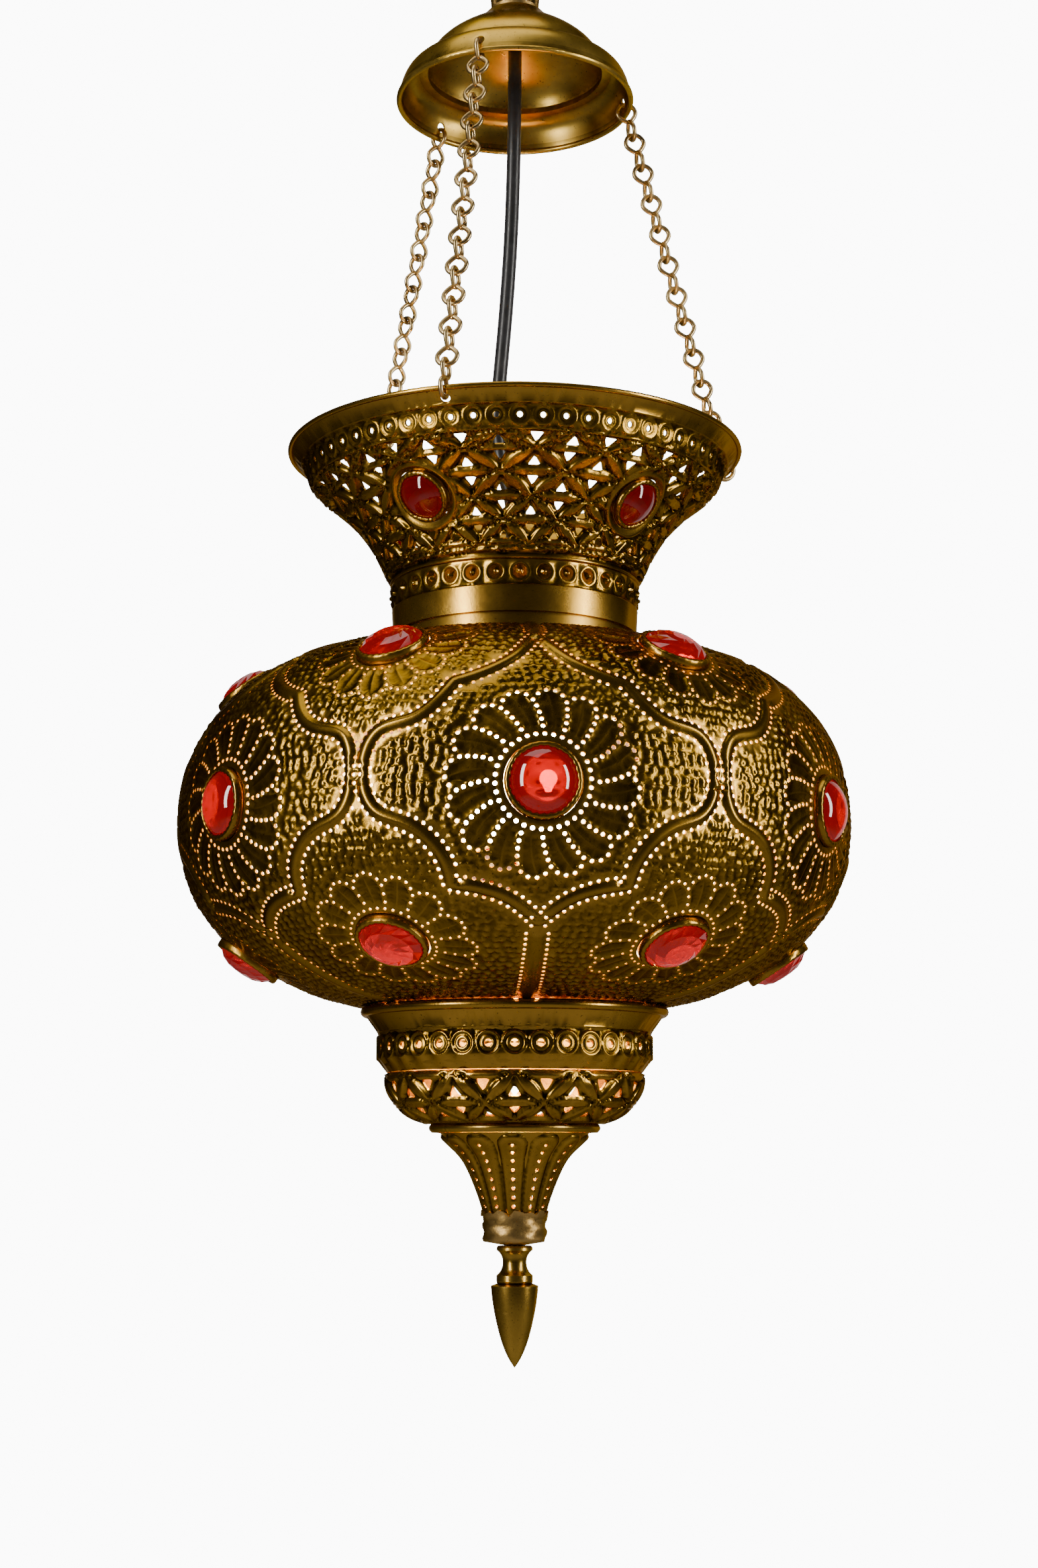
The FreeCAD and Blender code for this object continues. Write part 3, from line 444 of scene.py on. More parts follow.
class Sheet:
    """A turned sheet, pierced and chased. Work is laid out as (angle, distance along the outline)."""

    OVERLAP = 0.45                  # how far, in radians, the triangulation runs past the seam
    RIM_STEP, INSIDE_STEP = 2.6, 9.0
    RIM_MARGIN = 0.6                # relief stays this far from the rims
    CLEARANCE = 0.55                # least distance between two relief points
    WEB = 0.55                      # least metal round a drilled hole
    SMALL_CORE, WIDE_CORE, WIDEST_CORE = 0.8, 0.7, 0.97     # share of a hole's reach free of relief
    JITTER = 2e-5                   # keeps four points off one circle

    def __init__(self, profile, seam, wall=1.0):
        self.profile, self.seam, self.wall = profile, math.radians(seam), wall
        self.loops, self.centres = [], []
        self.spots, self.reach = np.empty((0, 3)), np.empty(0)
        self.layers = []

    def local(self, centre, across, along):
        """Work coordinates of offsets in millimetres from a centre."""
        s = centre[1] + along
        return np.column_stack([centre[0] + across / self.profile.radius(s), s])

    def pierce(self, centre, across, along, reach):
        """A hole with the given rim about a centre, counter-clockwise from outside."""
        self.loops.append(self.local(centre, across, along))
        self.centres.append(centre[0])
        self.spots = np.concatenate([self.spots, self.profile.spots(np.array([centre]))])
        self.reach = np.append(self.reach, reach)

    def drill(self, centres, radius, sides=8):
        """Round holes, leaving out any that would run into an earlier one."""
        turns = full_turn(sides) + 0.3
        for centre in centres:
            gaps = np.linalg.norm(self.spots - self.profile.spots(centre[None]), axis=1) - self.reach
            if (gaps < radius + self.WEB).any():
                continue
            self.pierce(centre, radius * np.cos(turns), radius * np.sin(turns), radius)

    def emboss(self, work, lift, rank=0):
        """Adds relief points with their lift over the sheet. Lower ranks win where two crowd each other."""
        self.layers.append((rank, np.column_stack([work, np.broadcast_to(lift, len(work))])))

    def gather(self):
        """All relief points but those that crowd a hole's rim or a point of a lower rank."""
        kept = np.empty((0, 3))
        fixed = np.concatenate([*self.loops, *self.edges()])
        last = self.profile.length - self.RIM_MARGIN
        for rank in sorted({rank for rank, _ in self.layers}):
            layer = np.concatenate([work for owner, work in self.layers if owner == rank])
            layer = layer[(layer[:, 1] > self.RIM_MARGIN) & (layer[:, 1] < last)]
            solid = self.profile.spots(layer)
            _, first = np.unique(np.round(solid / self.CLEARANCE), axis=0, return_index=True)
            first.sort()
            layer, solid = layer[first], solid[first]
            tree = tree_of(self.profile.spots(np.concatenate([fixed, kept[:, :2]])))
            far = np.array([tree.find(p)[2] > self.CLEARANCE for p in solid.tolist()], bool)
            kept = np.concatenate([kept, layer[far]])
        return self.out_of_holes(kept)

    def out_of_holes(self, relief):
        """The relief points that don't lie over a hole. The few wide holes are taken one at a time."""
        if not len(self.spots):
            return relief
        solid = self.profile.spots(relief)
        keep = np.ones(len(relief), bool)
        common = 1.5 * np.sort(self.reach)[len(self.reach) // 2]
        tree = tree_of(self.spots)
        for index, spot in enumerate(solid.tolist()):
            for _, hole, gap in tree.find_range(spot, common + 0.5):
                keep[index] &= gap > self.reach[hole] * self.SMALL_CORE
        widest = self.reach.max()
        for hole in np.flatnonzero(self.reach > common):
            core = self.WIDEST_CORE if self.reach[hole] == widest else self.WIDE_CORE
            keep &= np.linalg.norm(solid - self.spots[hole], axis=1) > self.reach[hole] * core
        return relief[keep]

    def edges(self):
        """The lower and upper rims."""
        rims = []
        for s in (0.0, self.profile.length):
            count = max(24, int(TURN * self.profile.radius(s) / self.RIM_STEP))
            rims.append(level(self.seam + TURN * np.arange(count) / count, s))
        return rims

    def triangles(self, work, anchors, loops):
        """Triangles of the whole turn over the points, none inside a loop, as rows of point numbers."""
        n = len(work)
        plane = np.column_stack([work[:, 0], np.interp(work[:, 1], self.profile.s, self.profile.even)])
        groups = (np.arange(n), np.flatnonzero(anchors - self.seam < self.OVERLAP),
                  np.flatnonzero(self.seam + TURN - anchors < self.OVERLAP))
        ids = np.concatenate(groups)
        shift = np.repeat([0.0, TURN, -TURN], [len(g) for g in groups])
        spread = plane[ids] + np.column_stack([shift, np.zeros(len(ids))])
        rims = []
        start = 0
        for group in groups:
            where = np.full(n, -1)
            where[group] = start + np.arange(len(group))
            rims += [where[loop].tolist() for loop in loops if where[loop[0]] >= 0]
            start += len(group)
        points, _, tris, origin, _, inside = delaunay_2d_cdt(
            [Vector(p) for p in spread.tolist()], [], rims, 0, 1e-9, True)
        source = np.array([o[0] if o else -1 for o in origin])
        sheet = np.array([t for t, hole in zip(tris, inside) if not hole and len(t) == 3])
        middle = np.array([p[0] for p in points])[sheet].mean(axis=1)
        found = source[sheet[(middle >= self.seam) & (middle < self.seam + TURN)]]
        return ids[found[(found >= 0).all(axis=1)]]

    def plain_grid(self):
        """Sparse points for the plain inside."""
        rows, step = [], self.INSIDE_STEP
        for s in np.arange(step / 2, self.profile.length - step / 3, step):
            count = max(36, int(TURN * self.profile.radius(s) / step))
            angles = self.seam + TURN * (np.arange(count) + random.random(count) * 0.2) / count
            rows.append(np.column_stack([angles, s + random.random(count) * step * 0.2]))
        return np.concatenate(rows)

    def build(self):
        """The finished shell: relief outside, plain inside, with the holes' and rims' walls."""
        rims = self.edges()
        parts = [*self.loops, *rims]
        fixed = np.concatenate(parts)
        anchors = np.concatenate([np.full(len(loop), c) for loop, c in zip(self.loops, self.centres)]
                                 + [rim[:, 0] for rim in rims])
        sizes = np.cumsum([0] + [len(part) for part in parts])
        spans = [np.arange(a, b) for a, b in zip(sizes, sizes[1:])]
        relief, grid = self.gather(), self.plain_grid()
        skins = []
        for extra, edge_lift, lift in ((relief[:, :2], 0.0, relief[:, 2]),
                                       (grid, -self.wall, np.full(len(grid), -self.wall))):
            jitter = self.JITTER * random.standard_normal(extra.shape)
            work = np.concatenate([fixed, extra + jitter])
            hang = np.concatenate([anchors, extra[:, 0]])
            turns = np.floor((hang - self.seam) / TURN) * TURN
            work[:, 0] -= turns
            tris = self.triangles(work, hang - turns, spans[:len(self.loops)])
            up = np.concatenate([np.full(len(fixed), edge_lift), lift])
            skins.append((self.profile.place(work[:, 0], work[:, 1], up), tris))
        (outer, outer_tris), (inner, inner_tris) = skins
        rim_points = np.concatenate([outer[:len(fixed)], inner[:len(fixed)]])
        walls = []
        for number, span in enumerate(spans):
            ahead = np.roll(span, -1)
            wall = np.column_stack([span, ahead, ahead + len(fixed), span + len(fixed)])
            walls.append(wall[:, ::-1] if number == len(self.loops) else wall)
        walls = np.concatenate(walls) + len(outer) + len(inner)
        points = np.concatenate([outer, inner, rim_points])
        return Shell(points, outer_tris, inner_tris[:, ::-1] + len(outer), walls)


def along_path(profile, path, step):
    """Points a step apart along a path of work coordinates."""
    steps = np.linalg.norm(np.diff(profile.spots(path), axis=0), axis=1)
    length = np.concatenate([[0], np.cumsum(steps)])
    count = max(2, int(round(length[-1] / step)) + 1)
    at = np.linspace(0, length[-1], count)
    return np.column_stack([np.interp(at, length, path[:, 0]), np.interp(at, length, path[:, 1])])


def beside(profile, path, offset):
    """The path moved sideways, to the right of travel, by one offset in millimetres or one for each point."""
    r = profile.radius(path[:, 1])
    step = np.gradient(path, axis=0) * np.column_stack([r, np.ones(len(r))])
    step /= np.hypot(*step.T)[:, None]
    return path + np.reshape(offset, (-1, 1)) * np.column_stack([step[:, 1] / r, -step[:, 0]])


def sides_of(share):
    """One line in the middle, and one on either side elsewhere."""
    return (1,) if share == 0 else (-1, 1)


# ------ chased patterns
STONE_START, STONE_DRIFT, SEAM = 4.4, 2.2, 19.4     # degrees
PIN_R = 0.92                    # pin holes of the dotted rows
PIN_STEP = 3.6
BAND_WIDTH, STEM_WIDTH, BAND_LIFT = 5.2, 7.0, 1.3
BAND_ROWS = 1.15                # from a band's edge to the middle of its dotted rows
MM_PER_DEGREE = 2.6             # of turn, near the body's widest line
RIDGE = ((0.0, 1.0), (0.45, 0.86), (0.8, 0.42), (1.0, 0.0))    # share of the half width, share of the lift
LEAST_SPREAD = 0.5              # lines closer than this to a ridge's middle are left out
RING_STEP = 1.3


def laid(degrees):
    """An even angle as the rows were set by hand, a little closer together at the front, in radians."""
    return np.radians(degrees - STONE_DRIFT * np.sin(np.radians(degrees - STONE_START)))


def drawn(start, side, *stretches):
    """A path beside a start angle, from stretches of (degrees, distance) that are smooth between corners."""
    lines = []
    for stretch in stretches:
        flat = np.array(stretch, float) * (MM_PER_DEGREE, 1.0)
        fine = smooth_line(flat, 1.0) if len(flat) > 2 else np.linspace(*flat, 24)
        lines.append(fine / (MM_PER_DEGREE, 1.0))
    line = np.concatenate(lines)
    return np.column_stack([laid(start + side * line[:, 0]), line[:, 1]])


def add_ridge(sheet, path, width, lift, step=1.5, rank=0):
    """A rounded ridge along a path. Lines that would crowd its middle are left out."""
    path = along_path(sheet.profile, path, step)
    for share, rise in RIDGE:
        for side in sides_of(share):
            if share * width / 2 > LEAST_SPREAD or share == 0:
                sheet.emboss(beside(sheet.profile, path, side * share * width / 2), rise * lift, rank)


def add_rings(sheet, centre, rings):
    """Circles of points about a centre, each (radius, lift)."""
    for radius, lift in rings:
        count = max(6, int(TURN * radius / RING_STEP)) if radius else 1
        turns = full_turn(count) + radius
        sheet.emboss(sheet.local(centre, radius * np.cos(turns), radius * np.sin(turns)), lift)


class Rosette:
    """A flower of scalloped petals round a stone, laid out from its centre in millimetres and radians."""

    PIN_RING = 34                   # pin holes in the ring round the cup
    BORDER_START, VEIN_START = 3.4, 3.5     # out from that ring
    TIP_SHARE = 0.55                # how far into its scallop a vein runs
    BORDER_RIDGE, RIM_RIDGE = (3.0, 0.35, 1.2), (3.4, 0.5, 1.2)         # width, lift, step
    VEIN_RIDGE = (1.1, 0.0, 1.3)
    FLOOR_SHARES, FLOOR_LIFT = (0.27, 0.73), -0.75      # beside the vein, across the petal
    CUP_RINGS = ((1.3, 0.25), (-1.6, 0.35))             # out from the ring of holes, lift
    POINTS, CUP_POINTS = 15, 90

    def __init__(self, ring, valley, tip, petals, swirl, pin):
        self.ring, self.valley, self.tip = ring, valley, tip
        self.petals, self.swirl, self.pin = petals, math.radians(swirl), pin

    def scallop(self, share):
        return self.valley + (self.tip - self.valley) * np.sin(math.pi * share) ** 0.75

    def edge(self, angle):
        """The outline's distance from the centre."""
        return self.scallop(((angle - self.swirl) * self.petals / TURN) % 1.0)

    def drill_ring(self, sheet, centre):
        turns = TURN * (np.arange(self.PIN_RING) + 0.5 * random.random()) / self.PIN_RING
        sheet.drill(sheet.local(centre, self.ring * np.cos(turns), self.ring * np.sin(turns)), self.pin)

    def add(self, sheet, centre):
        """Raised borders with dotted rows, sunk floors and a curved vein in each petal."""
        def polar(radius, angle):
            return sheet.local(centre, radius * np.cos(angle), radius * np.sin(angle))

        share = np.linspace(0, 1, self.POINTS)
        wide = TURN / self.petals
        for petal in range(self.petals):
            first = TURN * petal / self.petals
            start = self.ring + self.BORDER_START
            border = polar(start + (self.valley - start) * share, first + self.swirl * share ** 1.3)
            rim = polar(self.scallop(share), first + self.swirl + wide * share)
            for path in (border[::-1], rim):
                sheet.drill(along_path(sheet.profile, path, PIN_STEP), self.pin)
            add_ridge(sheet, border, *self.BORDER_RIDGE, 1)
            add_ridge(sheet, rim, *self.RIM_RIDGE, 1)
            start = self.ring + self.VEIN_START
            vein = start + (self.valley + (self.tip - self.valley) * self.TIP_SHARE - start) * share
            middle = polar(vein, first + wide * 0.5 + self.swirl * (share * 1.25) ** 1.3)
            add_ridge(sheet, middle, *self.VEIN_RIDGE, 1)
            for across in self.FLOOR_SHARES:
                floor = polar(vein, first + wide * across + self.swirl * share ** 1.3)
                sheet.emboss(floor, self.FLOOR_LIFT, 2)
        for out, lift in self.CUP_RINGS:
            sheet.emboss(polar(self.ring + out, full_turn(self.CUP_POINTS)), lift, 2)


PEBBLE, PEBBLE_LIFT = 4.1, 0.85
PEBBLE_CLEAR, PEBBLE_MARGIN = 5.6, 4.0       # from a band's middle, and from the rims
# a pebble's rings: points, share of the spacing, share of the lift, rank
PEBBLE_RINGS = ((6, 0.27, 0.72, 3), (7, 0.49, 0.0, 4))


def add_pebbles(sheet, busy, allowed):
    """Irregular domed pebbles in rows over the open ground, kept clear of the busy points."""
    profile = sheet.profile
    rows = []
    for s in np.arange(PEBBLE_MARGIN, profile.length - PEBBLE_MARGIN, PEBBLE * 0.88):
        count = int(TURN * profile.radius(s) / PEBBLE)
        angles = TURN * (np.arange(count) + random.random() + 0.14 * random.standard_normal(count)) / count
        rows.append(np.column_stack([angles, s + 0.11 * PEBBLE * random.standard_normal(count)]))
    spots = np.concatenate(rows)
    spots = spots[allowed(spots)]
    tree = tree_of(profile.spots(busy))
    spots = spots[[tree.find(p)[2] > PEBBLE_CLEAR for p in profile.spots(spots).tolist()]]
    sheet.emboss(spots, PEBBLE_LIFT * (0.85 + 0.3 * random.random(len(spots))), 3)
    for count, share, rise, rank in PEBBLE_RINGS:
        for turn in np.arange(count) * TURN / count:
            size = PEBBLE * (share + 0.03 * random.random(len(spots)))
            spin = turn + 0.2 * random.standard_normal(len(spots))
            ring = np.column_stack([spots[:, 0] + size * np.cos(spin) / profile.radius(spots[:, 1]),
                                    spots[:, 1] + size * np.sin(spin)])
            sheet.emboss(ring, PEBBLE_LIFT * rise, rank)


# ------ the body
BODY = Profile([
    (63.5, 162.3), (88.0, 167.0), (106.0, 173.8), (134.0, 192.2), (149.5, 215.0),
    (155.3, 243.0), (149.1, 278.0), (132.2, 302.0), (102.0, 319.5), (56.0, 328.6),
])
STONE_R, BEZEL_R = 14.8, 16.0
SOLDER_LINE = 243.5
ROWS = {"equator": (243.5, 0), "upper": (308.0, 30), "lower": (183.0, 30)}
CUT_ROSETTE = Rosette(18.6, 30.0, 35.5, 14, 2, 0.75)
ROSETTES = {"equator": Rosette(19.7, 35.5, 40.5, 16, 6, 1.0), "upper": CUT_ROSETTE, "lower": CUT_ROSETTE}
ROSETTE_MARGIN = 2.3            # pebbles stay this far from a flower's outline
SEAM_POINTS, SEAM_LIFT = 800, 0.35
MEDALLION = (
    [(0, 73), (3.2, 81), (6.3, 86.4), (8.9, 89.1), (15.2, 92.5)],
    [(15.2, 92.5), (15.9, 102.1), (18.8, 113.2), (22.2, 118.9), (26.6, 123.9), (28.9, 135), (28.9, 146),
     (26.6, 157.9), (21.1, 162.5), (17.1, 170.8), (14.8, 180)],
    [(14.8, 180), (12.7, 182), (7.1, 189.7), (4.0, 197.4), (1.3, 209.5), (0, 215)],
)


def row_angles(offset):
    return laid(STONE_START + offset + 60.0 * np.arange(6))


def pierce_round(sheet, centre, radius, sides):
    turns = full_turn(sides)
    sheet.pierce(centre, radius * np.cos(turns), radius * np.sin(turns), radius)


def offsets(profile, spots, centre):
    """How far spots lie to the right of a centre and above it, in millimetres along the sheet."""
    gap = (spots[:, 0] - centre[0] + math.pi) % TURN - math.pi
    return gap * profile.radius(spots[:, 1]), spots[:, 1] - centre[1]


def body_bands():
    """The middles and widths of the raised bands: medallions' sides, and the stems over and under them."""
    bands = []
    for k in range(6):
        middle = STONE_START + 60 * k
        bands += [(drawn(middle, side, *MEDALLION), BAND_WIDTH) for side in (-1, 1)]
        bands.append((drawn(middle, 1, [(0, 2), (0, 66)]), STEM_WIDTH))
        bands.append((drawn(middle, 1, [(0, 221), (0, BODY.length - 2)]), STEM_WIDTH))
    return bands


def body_sheet():
    """The onion body: stones in flowers, framed by raised bands with dotted rows, on a pebbled ground."""
    sheet = Sheet(BODY, SEAM)
    seats = {name: [(a, BODY.at_height(h)) for a in row_angles(offset)] for name, (h, offset) in ROWS.items()}
    flowers = [(ROSETTES[name], centre) for name, centres in seats.items() for centre in centres]
    for rosette, centre in flowers:
        pierce_round(sheet, centre, BEZEL_R + 0.25, 44)
        rosette.drill_ring(sheet, centre)
    bands = body_bands()
    for path, width in bands:
        for side in (-1, 1):
            row = beside(BODY, path, side * (width / 2 + BAND_ROWS))
            sheet.drill(along_path(BODY, row, PIN_STEP), PIN_R)
    for path, width in bands:
        add_ridge(sheet, path, width, BAND_LIFT)
    solder = level(full_turn(SEAM_POINTS), BODY.at_height(SOLDER_LINE))
    sheet.emboss(solder, SEAM_LIFT * random.random(SEAM_POINTS), 2)
    for rosette, centre in flowers:
        rosette.add(sheet, centre)

    def outside_flowers(spots):
        clear = np.ones(len(spots), bool)
        for rosette, centre in flowers:
            across, along = offsets(BODY, spots, centre)
            edge = ROSETTE_MARGIN + rosette.edge(np.arctan2(along, across))
            clear &= np.hypot(across, along) > edge
        return clear

    add_pebbles(sheet, np.concatenate([along_path(BODY, path, 1.5) for path, _ in bands]), outside_flowers)
    return sheet, seats


# ------ lattices and rows of circles
LEAF = ((0.0, 0.95), (0.4, 1.6), (0.85, 0.9), (1.12, -0.7))    # share of the half width, lift
LEAF_SHARE, LEAF_HALF_MOST = 0.165, 3.1     # half a leaf's width: share of its length, and millimetres
LEAF_START, LEAF_END, LEAF_POINTS = 0.08, 0.92, 15
CORNER_POINTS, BLUNTING = 15, 1.75          # of a three-cornered hole


def pierce_triangle(sheet, centre, size, up):
    """A three-cornered hole with blunt corners, one of them up (1) or down (-1)."""
    third = TURN / 3
    turns = full_turn(CORNER_POINTS)
    from_corner = (turns - up * math.pi / 2 + third / 2) % third - third / 2
    reach = 0.72 * size * np.minimum(1 / np.cos(third / 2 - np.abs(from_corner)), BLUNTING)
    sheet.pierce(centre, reach * np.cos(turns), reach * np.sin(turns), size * 1.25)


def add_leaf(sheet, start, end, is_clear):
    """A lens-shaped leaf between two nodes, left out where it isn't clear."""
    share = np.linspace(LEAF_START, LEAF_END, LEAF_POINTS)[:, None]
    line = start + (end - start) * share
    length = np.linalg.norm(np.diff(sheet.profile.spots(np.array([start, end])), axis=0))
    half = min(LEAF_SHARE * length, LEAF_HALF_MOST) * np.sin(math.pi * share[:, 0]) ** 0.8
    for out, lift in LEAF:
        for side in sides_of(out):
            spots = beside(sheet.profile, line, side * out * half)
            sheet.emboss(spots[is_clear(spots)], lift, 1)


def add_lattice(sheet, columns, rows, phase, piercing, keep_clear=()):
    """A net of leaves between staggered nodes, with a piercing in every triangle."""
    profile, pitch = sheet.profile, TURN / columns

    def node(row, column):
        return np.array([math.radians(phase) + pitch * (column + 0.5 * (row % 2)), rows[row]])

    def is_clear(spots):
        good = np.ones(len(spots), bool)
        for angle, s, radius in keep_clear:
            gap = (spots[:, 0] - angle + math.pi) % TURN - math.pi
            good &= np.hypot(gap * profile.radius(s), spots[:, 1] - s) > radius
        return good

    for row in range(len(rows)):
        for column in range(columns):
            here, following = node(row, column), node(row, column + 1)
            ends, triangles = [following], []
            if row + 1 < len(rows):
                left, right = (node(row + 1, column + row % 2 - back) for back in (1, 0))
                ends += [left, right]
                triangles = [((here + following + right) / 3, 1), ((here + left + right) / 3, -1)]
            for end in ends:
                add_leaf(sheet, here, end, is_clear)
            for middle, up in triangles:
                if is_clear(middle[None])[0]:
                    pierce_triangle(sheet, middle, piercing * profile.radius(middle[1]) * pitch, up)


def add_circles(sheet, count, phase, s, rings, hole=0.0):
    for k in range(count):
        centre = (math.radians(phase) + TURN * k / count, s)
        if hole:
            sheet.drill(np.array([centre]), hole, 12)
        add_rings(sheet, centre, rings)


HOOP = ((0, 1.0), (0.5, 0.8), (1.0, 0.0))   # share of the half width, share of the lift
HOOP_STEP = 2.0


def add_hoop(sheet, s, width, lift):
    """A raised line all the way round."""
    turns = full_turn(int(TURN * sheet.profile.radius(s) / HOOP_STEP))
    for share, rise in HOOP:
        for side in sides_of(share):
            sheet.emboss(level(turns, s + side * share * width / 2), rise * lift)


GALLERY = Profile(
    [(56.9, 337.0), (56.9, 357.5)],
    [(56.9, 357.5), (60.4, 367.0), (71.2, 387.0), (84.3, 401.0), (97.6, 411.3)],
    [(97.6, 411.3), (99.7, 418.0)],
    [(99.7, 418.0), (106.6, 425.1)],
)
GALLERY_BEAD = ((107.4, 425.9), 1.2)
GALLERY_HOOPS = ((25.0, 2.2, 1.0), (28.6, 2.6, 1.2), (87.2, 2.0, 0.8), (99.4, 1.8, 0.5))
GALLERY_STONE_R, GALLERY_STONE_H = 11.6, 389.5
GALLERY_STONE_CLEAR = 17.9      # the net stays this far from a stone's middle
GALLERY_STONE_ANGLES = (-34.5, 49.5, 140.0, 229.5)
CHAIN_ANGLES = {"front": -17.0, "right": 103.0, "rear": 223.0}


def gallery_sheet():
    """The flared cup: raised ring, net of leaves round four stones, a row of circles and a plain flange."""
    sheet = Sheet(GALLERY, SEAM)
    s = GALLERY.at_height(GALLERY_STONE_H)
    seats = [(math.radians(a), s) for a in GALLERY_STONE_ANGLES]
    for centre in seats:
        pierce_round(sheet, centre, GALLERY_STONE_R + 1.5, 40)
        add_rings(sheet, centre, ((14.2, 0.3), (15.2, 1.0), (16.4, 1.1), (17.4, 0.2)))
    for angle in CHAIN_ANGLES.values():
        sheet.drill(np.array([(math.radians(angle), GALLERY.length - 4.0)]), 2.3, 20)
    for hoop in GALLERY_HOOPS:
        add_hoop(sheet, *hoop)
    add_circles(sheet, 60, 1.4, 93.4, ((1.9, -0.5), (2.6, 0.3), (3.4, -0.5), (4.2, 0.9), (4.9, 0.3)), 1.3)
    keep_clear = [(a, s, GALLERY_STONE_CLEAR) for a, s in seats]
    add_lattice(sheet, 17, (31.0, 41.8, 52.6, 65.0, 77.6, 86.0), -15.0, 0.083, keep_clear)
    return sheet, seats


NECK_BAND = Profile([(57.8, 337.0), (57.8, 356.0)], [(57.8, 356.0), (58.9, 360.4)])


def neck_band_sheet():
    sheet = Sheet(NECK_BAND, SEAM, 0.8)
    s = NECK_BAND.at_height(355.0)
    add_circles(sheet, 33, 2.4, s, ((0.0, 2.1), (1.0, 1.8), (1.7, -0.4), (3.2, -0.4), (4.1, 1.0), (4.8, 0.4)))
    add_hoop(sheet, NECK_BAND.at_height(348.6), 1.6, 0.6)
    return sheet


COLLAR_BEAD = ((68.9, 159.8), 2.3)
COLLAR = Profile([(58.9, 132.2), (62.2, 134.2), (62.8, 137.0)], [(62.8, 137.0), (62.8, 150.2)],
                 [(62.8, 150.2), (64.8, 153.0), (68.2, 155.6), (68.9, 158.2)])


def collar_sheet():
    sheet = Sheet(COLLAR, SEAM)
    rings = ((2.7, 0.9), (3.5, 0.0), (4.2, 0.0), (4.9, 1.0), (5.5, 0.8), (6.1, 0.0))
    add_circles(sheet, 34, 0.1, COLLAR.at_height(143.2), rings, 1.75)
    add_hoop(sheet, COLLAR.at_height(150.6), 1.4, 0.5)
    return sheet


BOWL = Profile([(37.4, 109.4), (49.5, 114.0), (55.4, 120.0), (58.2, 126.0), (58.5, 132.0)])


def bowl_sheet():
    sheet = Sheet(BOWL, SEAM)
    add_lattice(sheet, 13, (5.0, 19.0, 32.6), 0.1, 0.095)
    return sheet


TAIL = Profile([(13.7, 66.5), (16.5, 76.0), (20.0, 85.0), (24.9, 94.0), (30.8, 100.0), (35.8, 104.9)])
FLUTES, FLUTE_PHASE = 12, -2.0
FLUTE_PIN, FLUTE_PIN_TOP, FLUTE_PINS = 0.95, 37.0, 8
FLUTE_RISE = 0.085              # share of the tail's radius
FLUTE_POINTS, FLUTE_STEP = 14, 1.1
FLUTE_TOP, FLUTE_ARCH = 1.5, 6.0            # below the upper rim, and how long the rounding is


def tail_sheet():
    """The tail: convex flutes with rounded tops, and a row of pin holes down each."""
    sheet = Sheet(TAIL, SEAM)
    steps = np.arange(FLUTE_PINS)
    for k in range(FLUTES):
        angle = math.radians(FLUTE_PHASE) + TURN * k / FLUTES
        down = FLUTE_PIN_TOP - 4.75 * steps + 0.04 * steps ** 2
        sheet.drill(np.column_stack([np.full(FLUTE_PINS, angle), down]), FLUTE_PIN)
    turns = full_turn(FLUTES * FLUTE_POINTS) + 0.01
    for s in np.arange(0.8, TAIL.length - 0.4, FLUTE_STEP):
        lobe = np.abs(np.cos(FLUTES / 2 * (turns - math.radians(FLUTE_PHASE))))
        arch = np.clip((TAIL.length - FLUTE_TOP - s) / FLUTE_ARCH, 0, 1) ** 0.5
        raised = np.clip((lobe - 1.0 + arch) / 0.55, 0, 1) ** 0.6
        sheet.emboss(level(turns, s), FLUTE_RISE * TAIL.radius(s) * (raised - 0.8))
    return sheet


FERRULE = Profile([(4.0, 54.3), (13.7, 54.3)], [(13.7, 54.3), (14.6, 58.0), (14.7, 66.0), (15.6, 69.6)])
FERRULE_POINTS, DENT_START, DENT_STEP = 44, 11.5, 1.6
RAGGED_FROM, RAGGED_TO, RAGGED_DEPTH = 68.0, 69.6, 0.75     # heights, and how uneven the edge is


def ferrule_shell():
    """The end cup, its upper edge left ragged where it was hammered over the tail."""
    sheet = Sheet(FERRULE, SEAM)
    turns = full_turn(FERRULE_POINTS)
    for s in np.arange(DENT_START, FERRULE.length - 1, DENT_STEP):
        dents = 0.35 * np.sin(3 * turns + s) + 0.25 * np.sin(7 * turns - s)
        sheet.emboss(level(turns + 0.05 * math.sin(s * 3), s), dents - 0.2)
    shell = sheet.build()
    low, top = (RAGGED_FROM - DROP) * MM, (RAGGED_TO - DROP) * MM
    share = np.clip((shell.points[:, 2] - low) / (top - low), 0, 1)
    around = np.arctan2(shell.points[:, 0], -shell.points[:, 1])
    ragged = np.sin(9 * around) + 0.8 * np.sin(14 * around + 1) + 0.6 * np.sin(23 * around + 2)
    shell.points[:, 2] += share * MM * RAGGED_DEPTH * (ragged - 0.4)
    return shell


# ------ stones, wire and turned pieces
def seat_frame(profile, centre):
    """A seat's origin on the sheet, in metres, and its axes right, up and outward."""
    angle, s = centre
    nr, nh = (float(np.interp(s, profile.s, profile.normal[:, i])) for i in (0, 1))
    radial = np.array([math.sin(angle), -math.cos(angle), 0.0])
    right = np.array([math.cos(angle), math.sin(angle), 0.0])
    outward = nr * radial + nh * np.array([0, 0, 1.0])
    return profile.place(np.array([angle]), np.array([s]))[0], right, np.cross(outward, right), outward


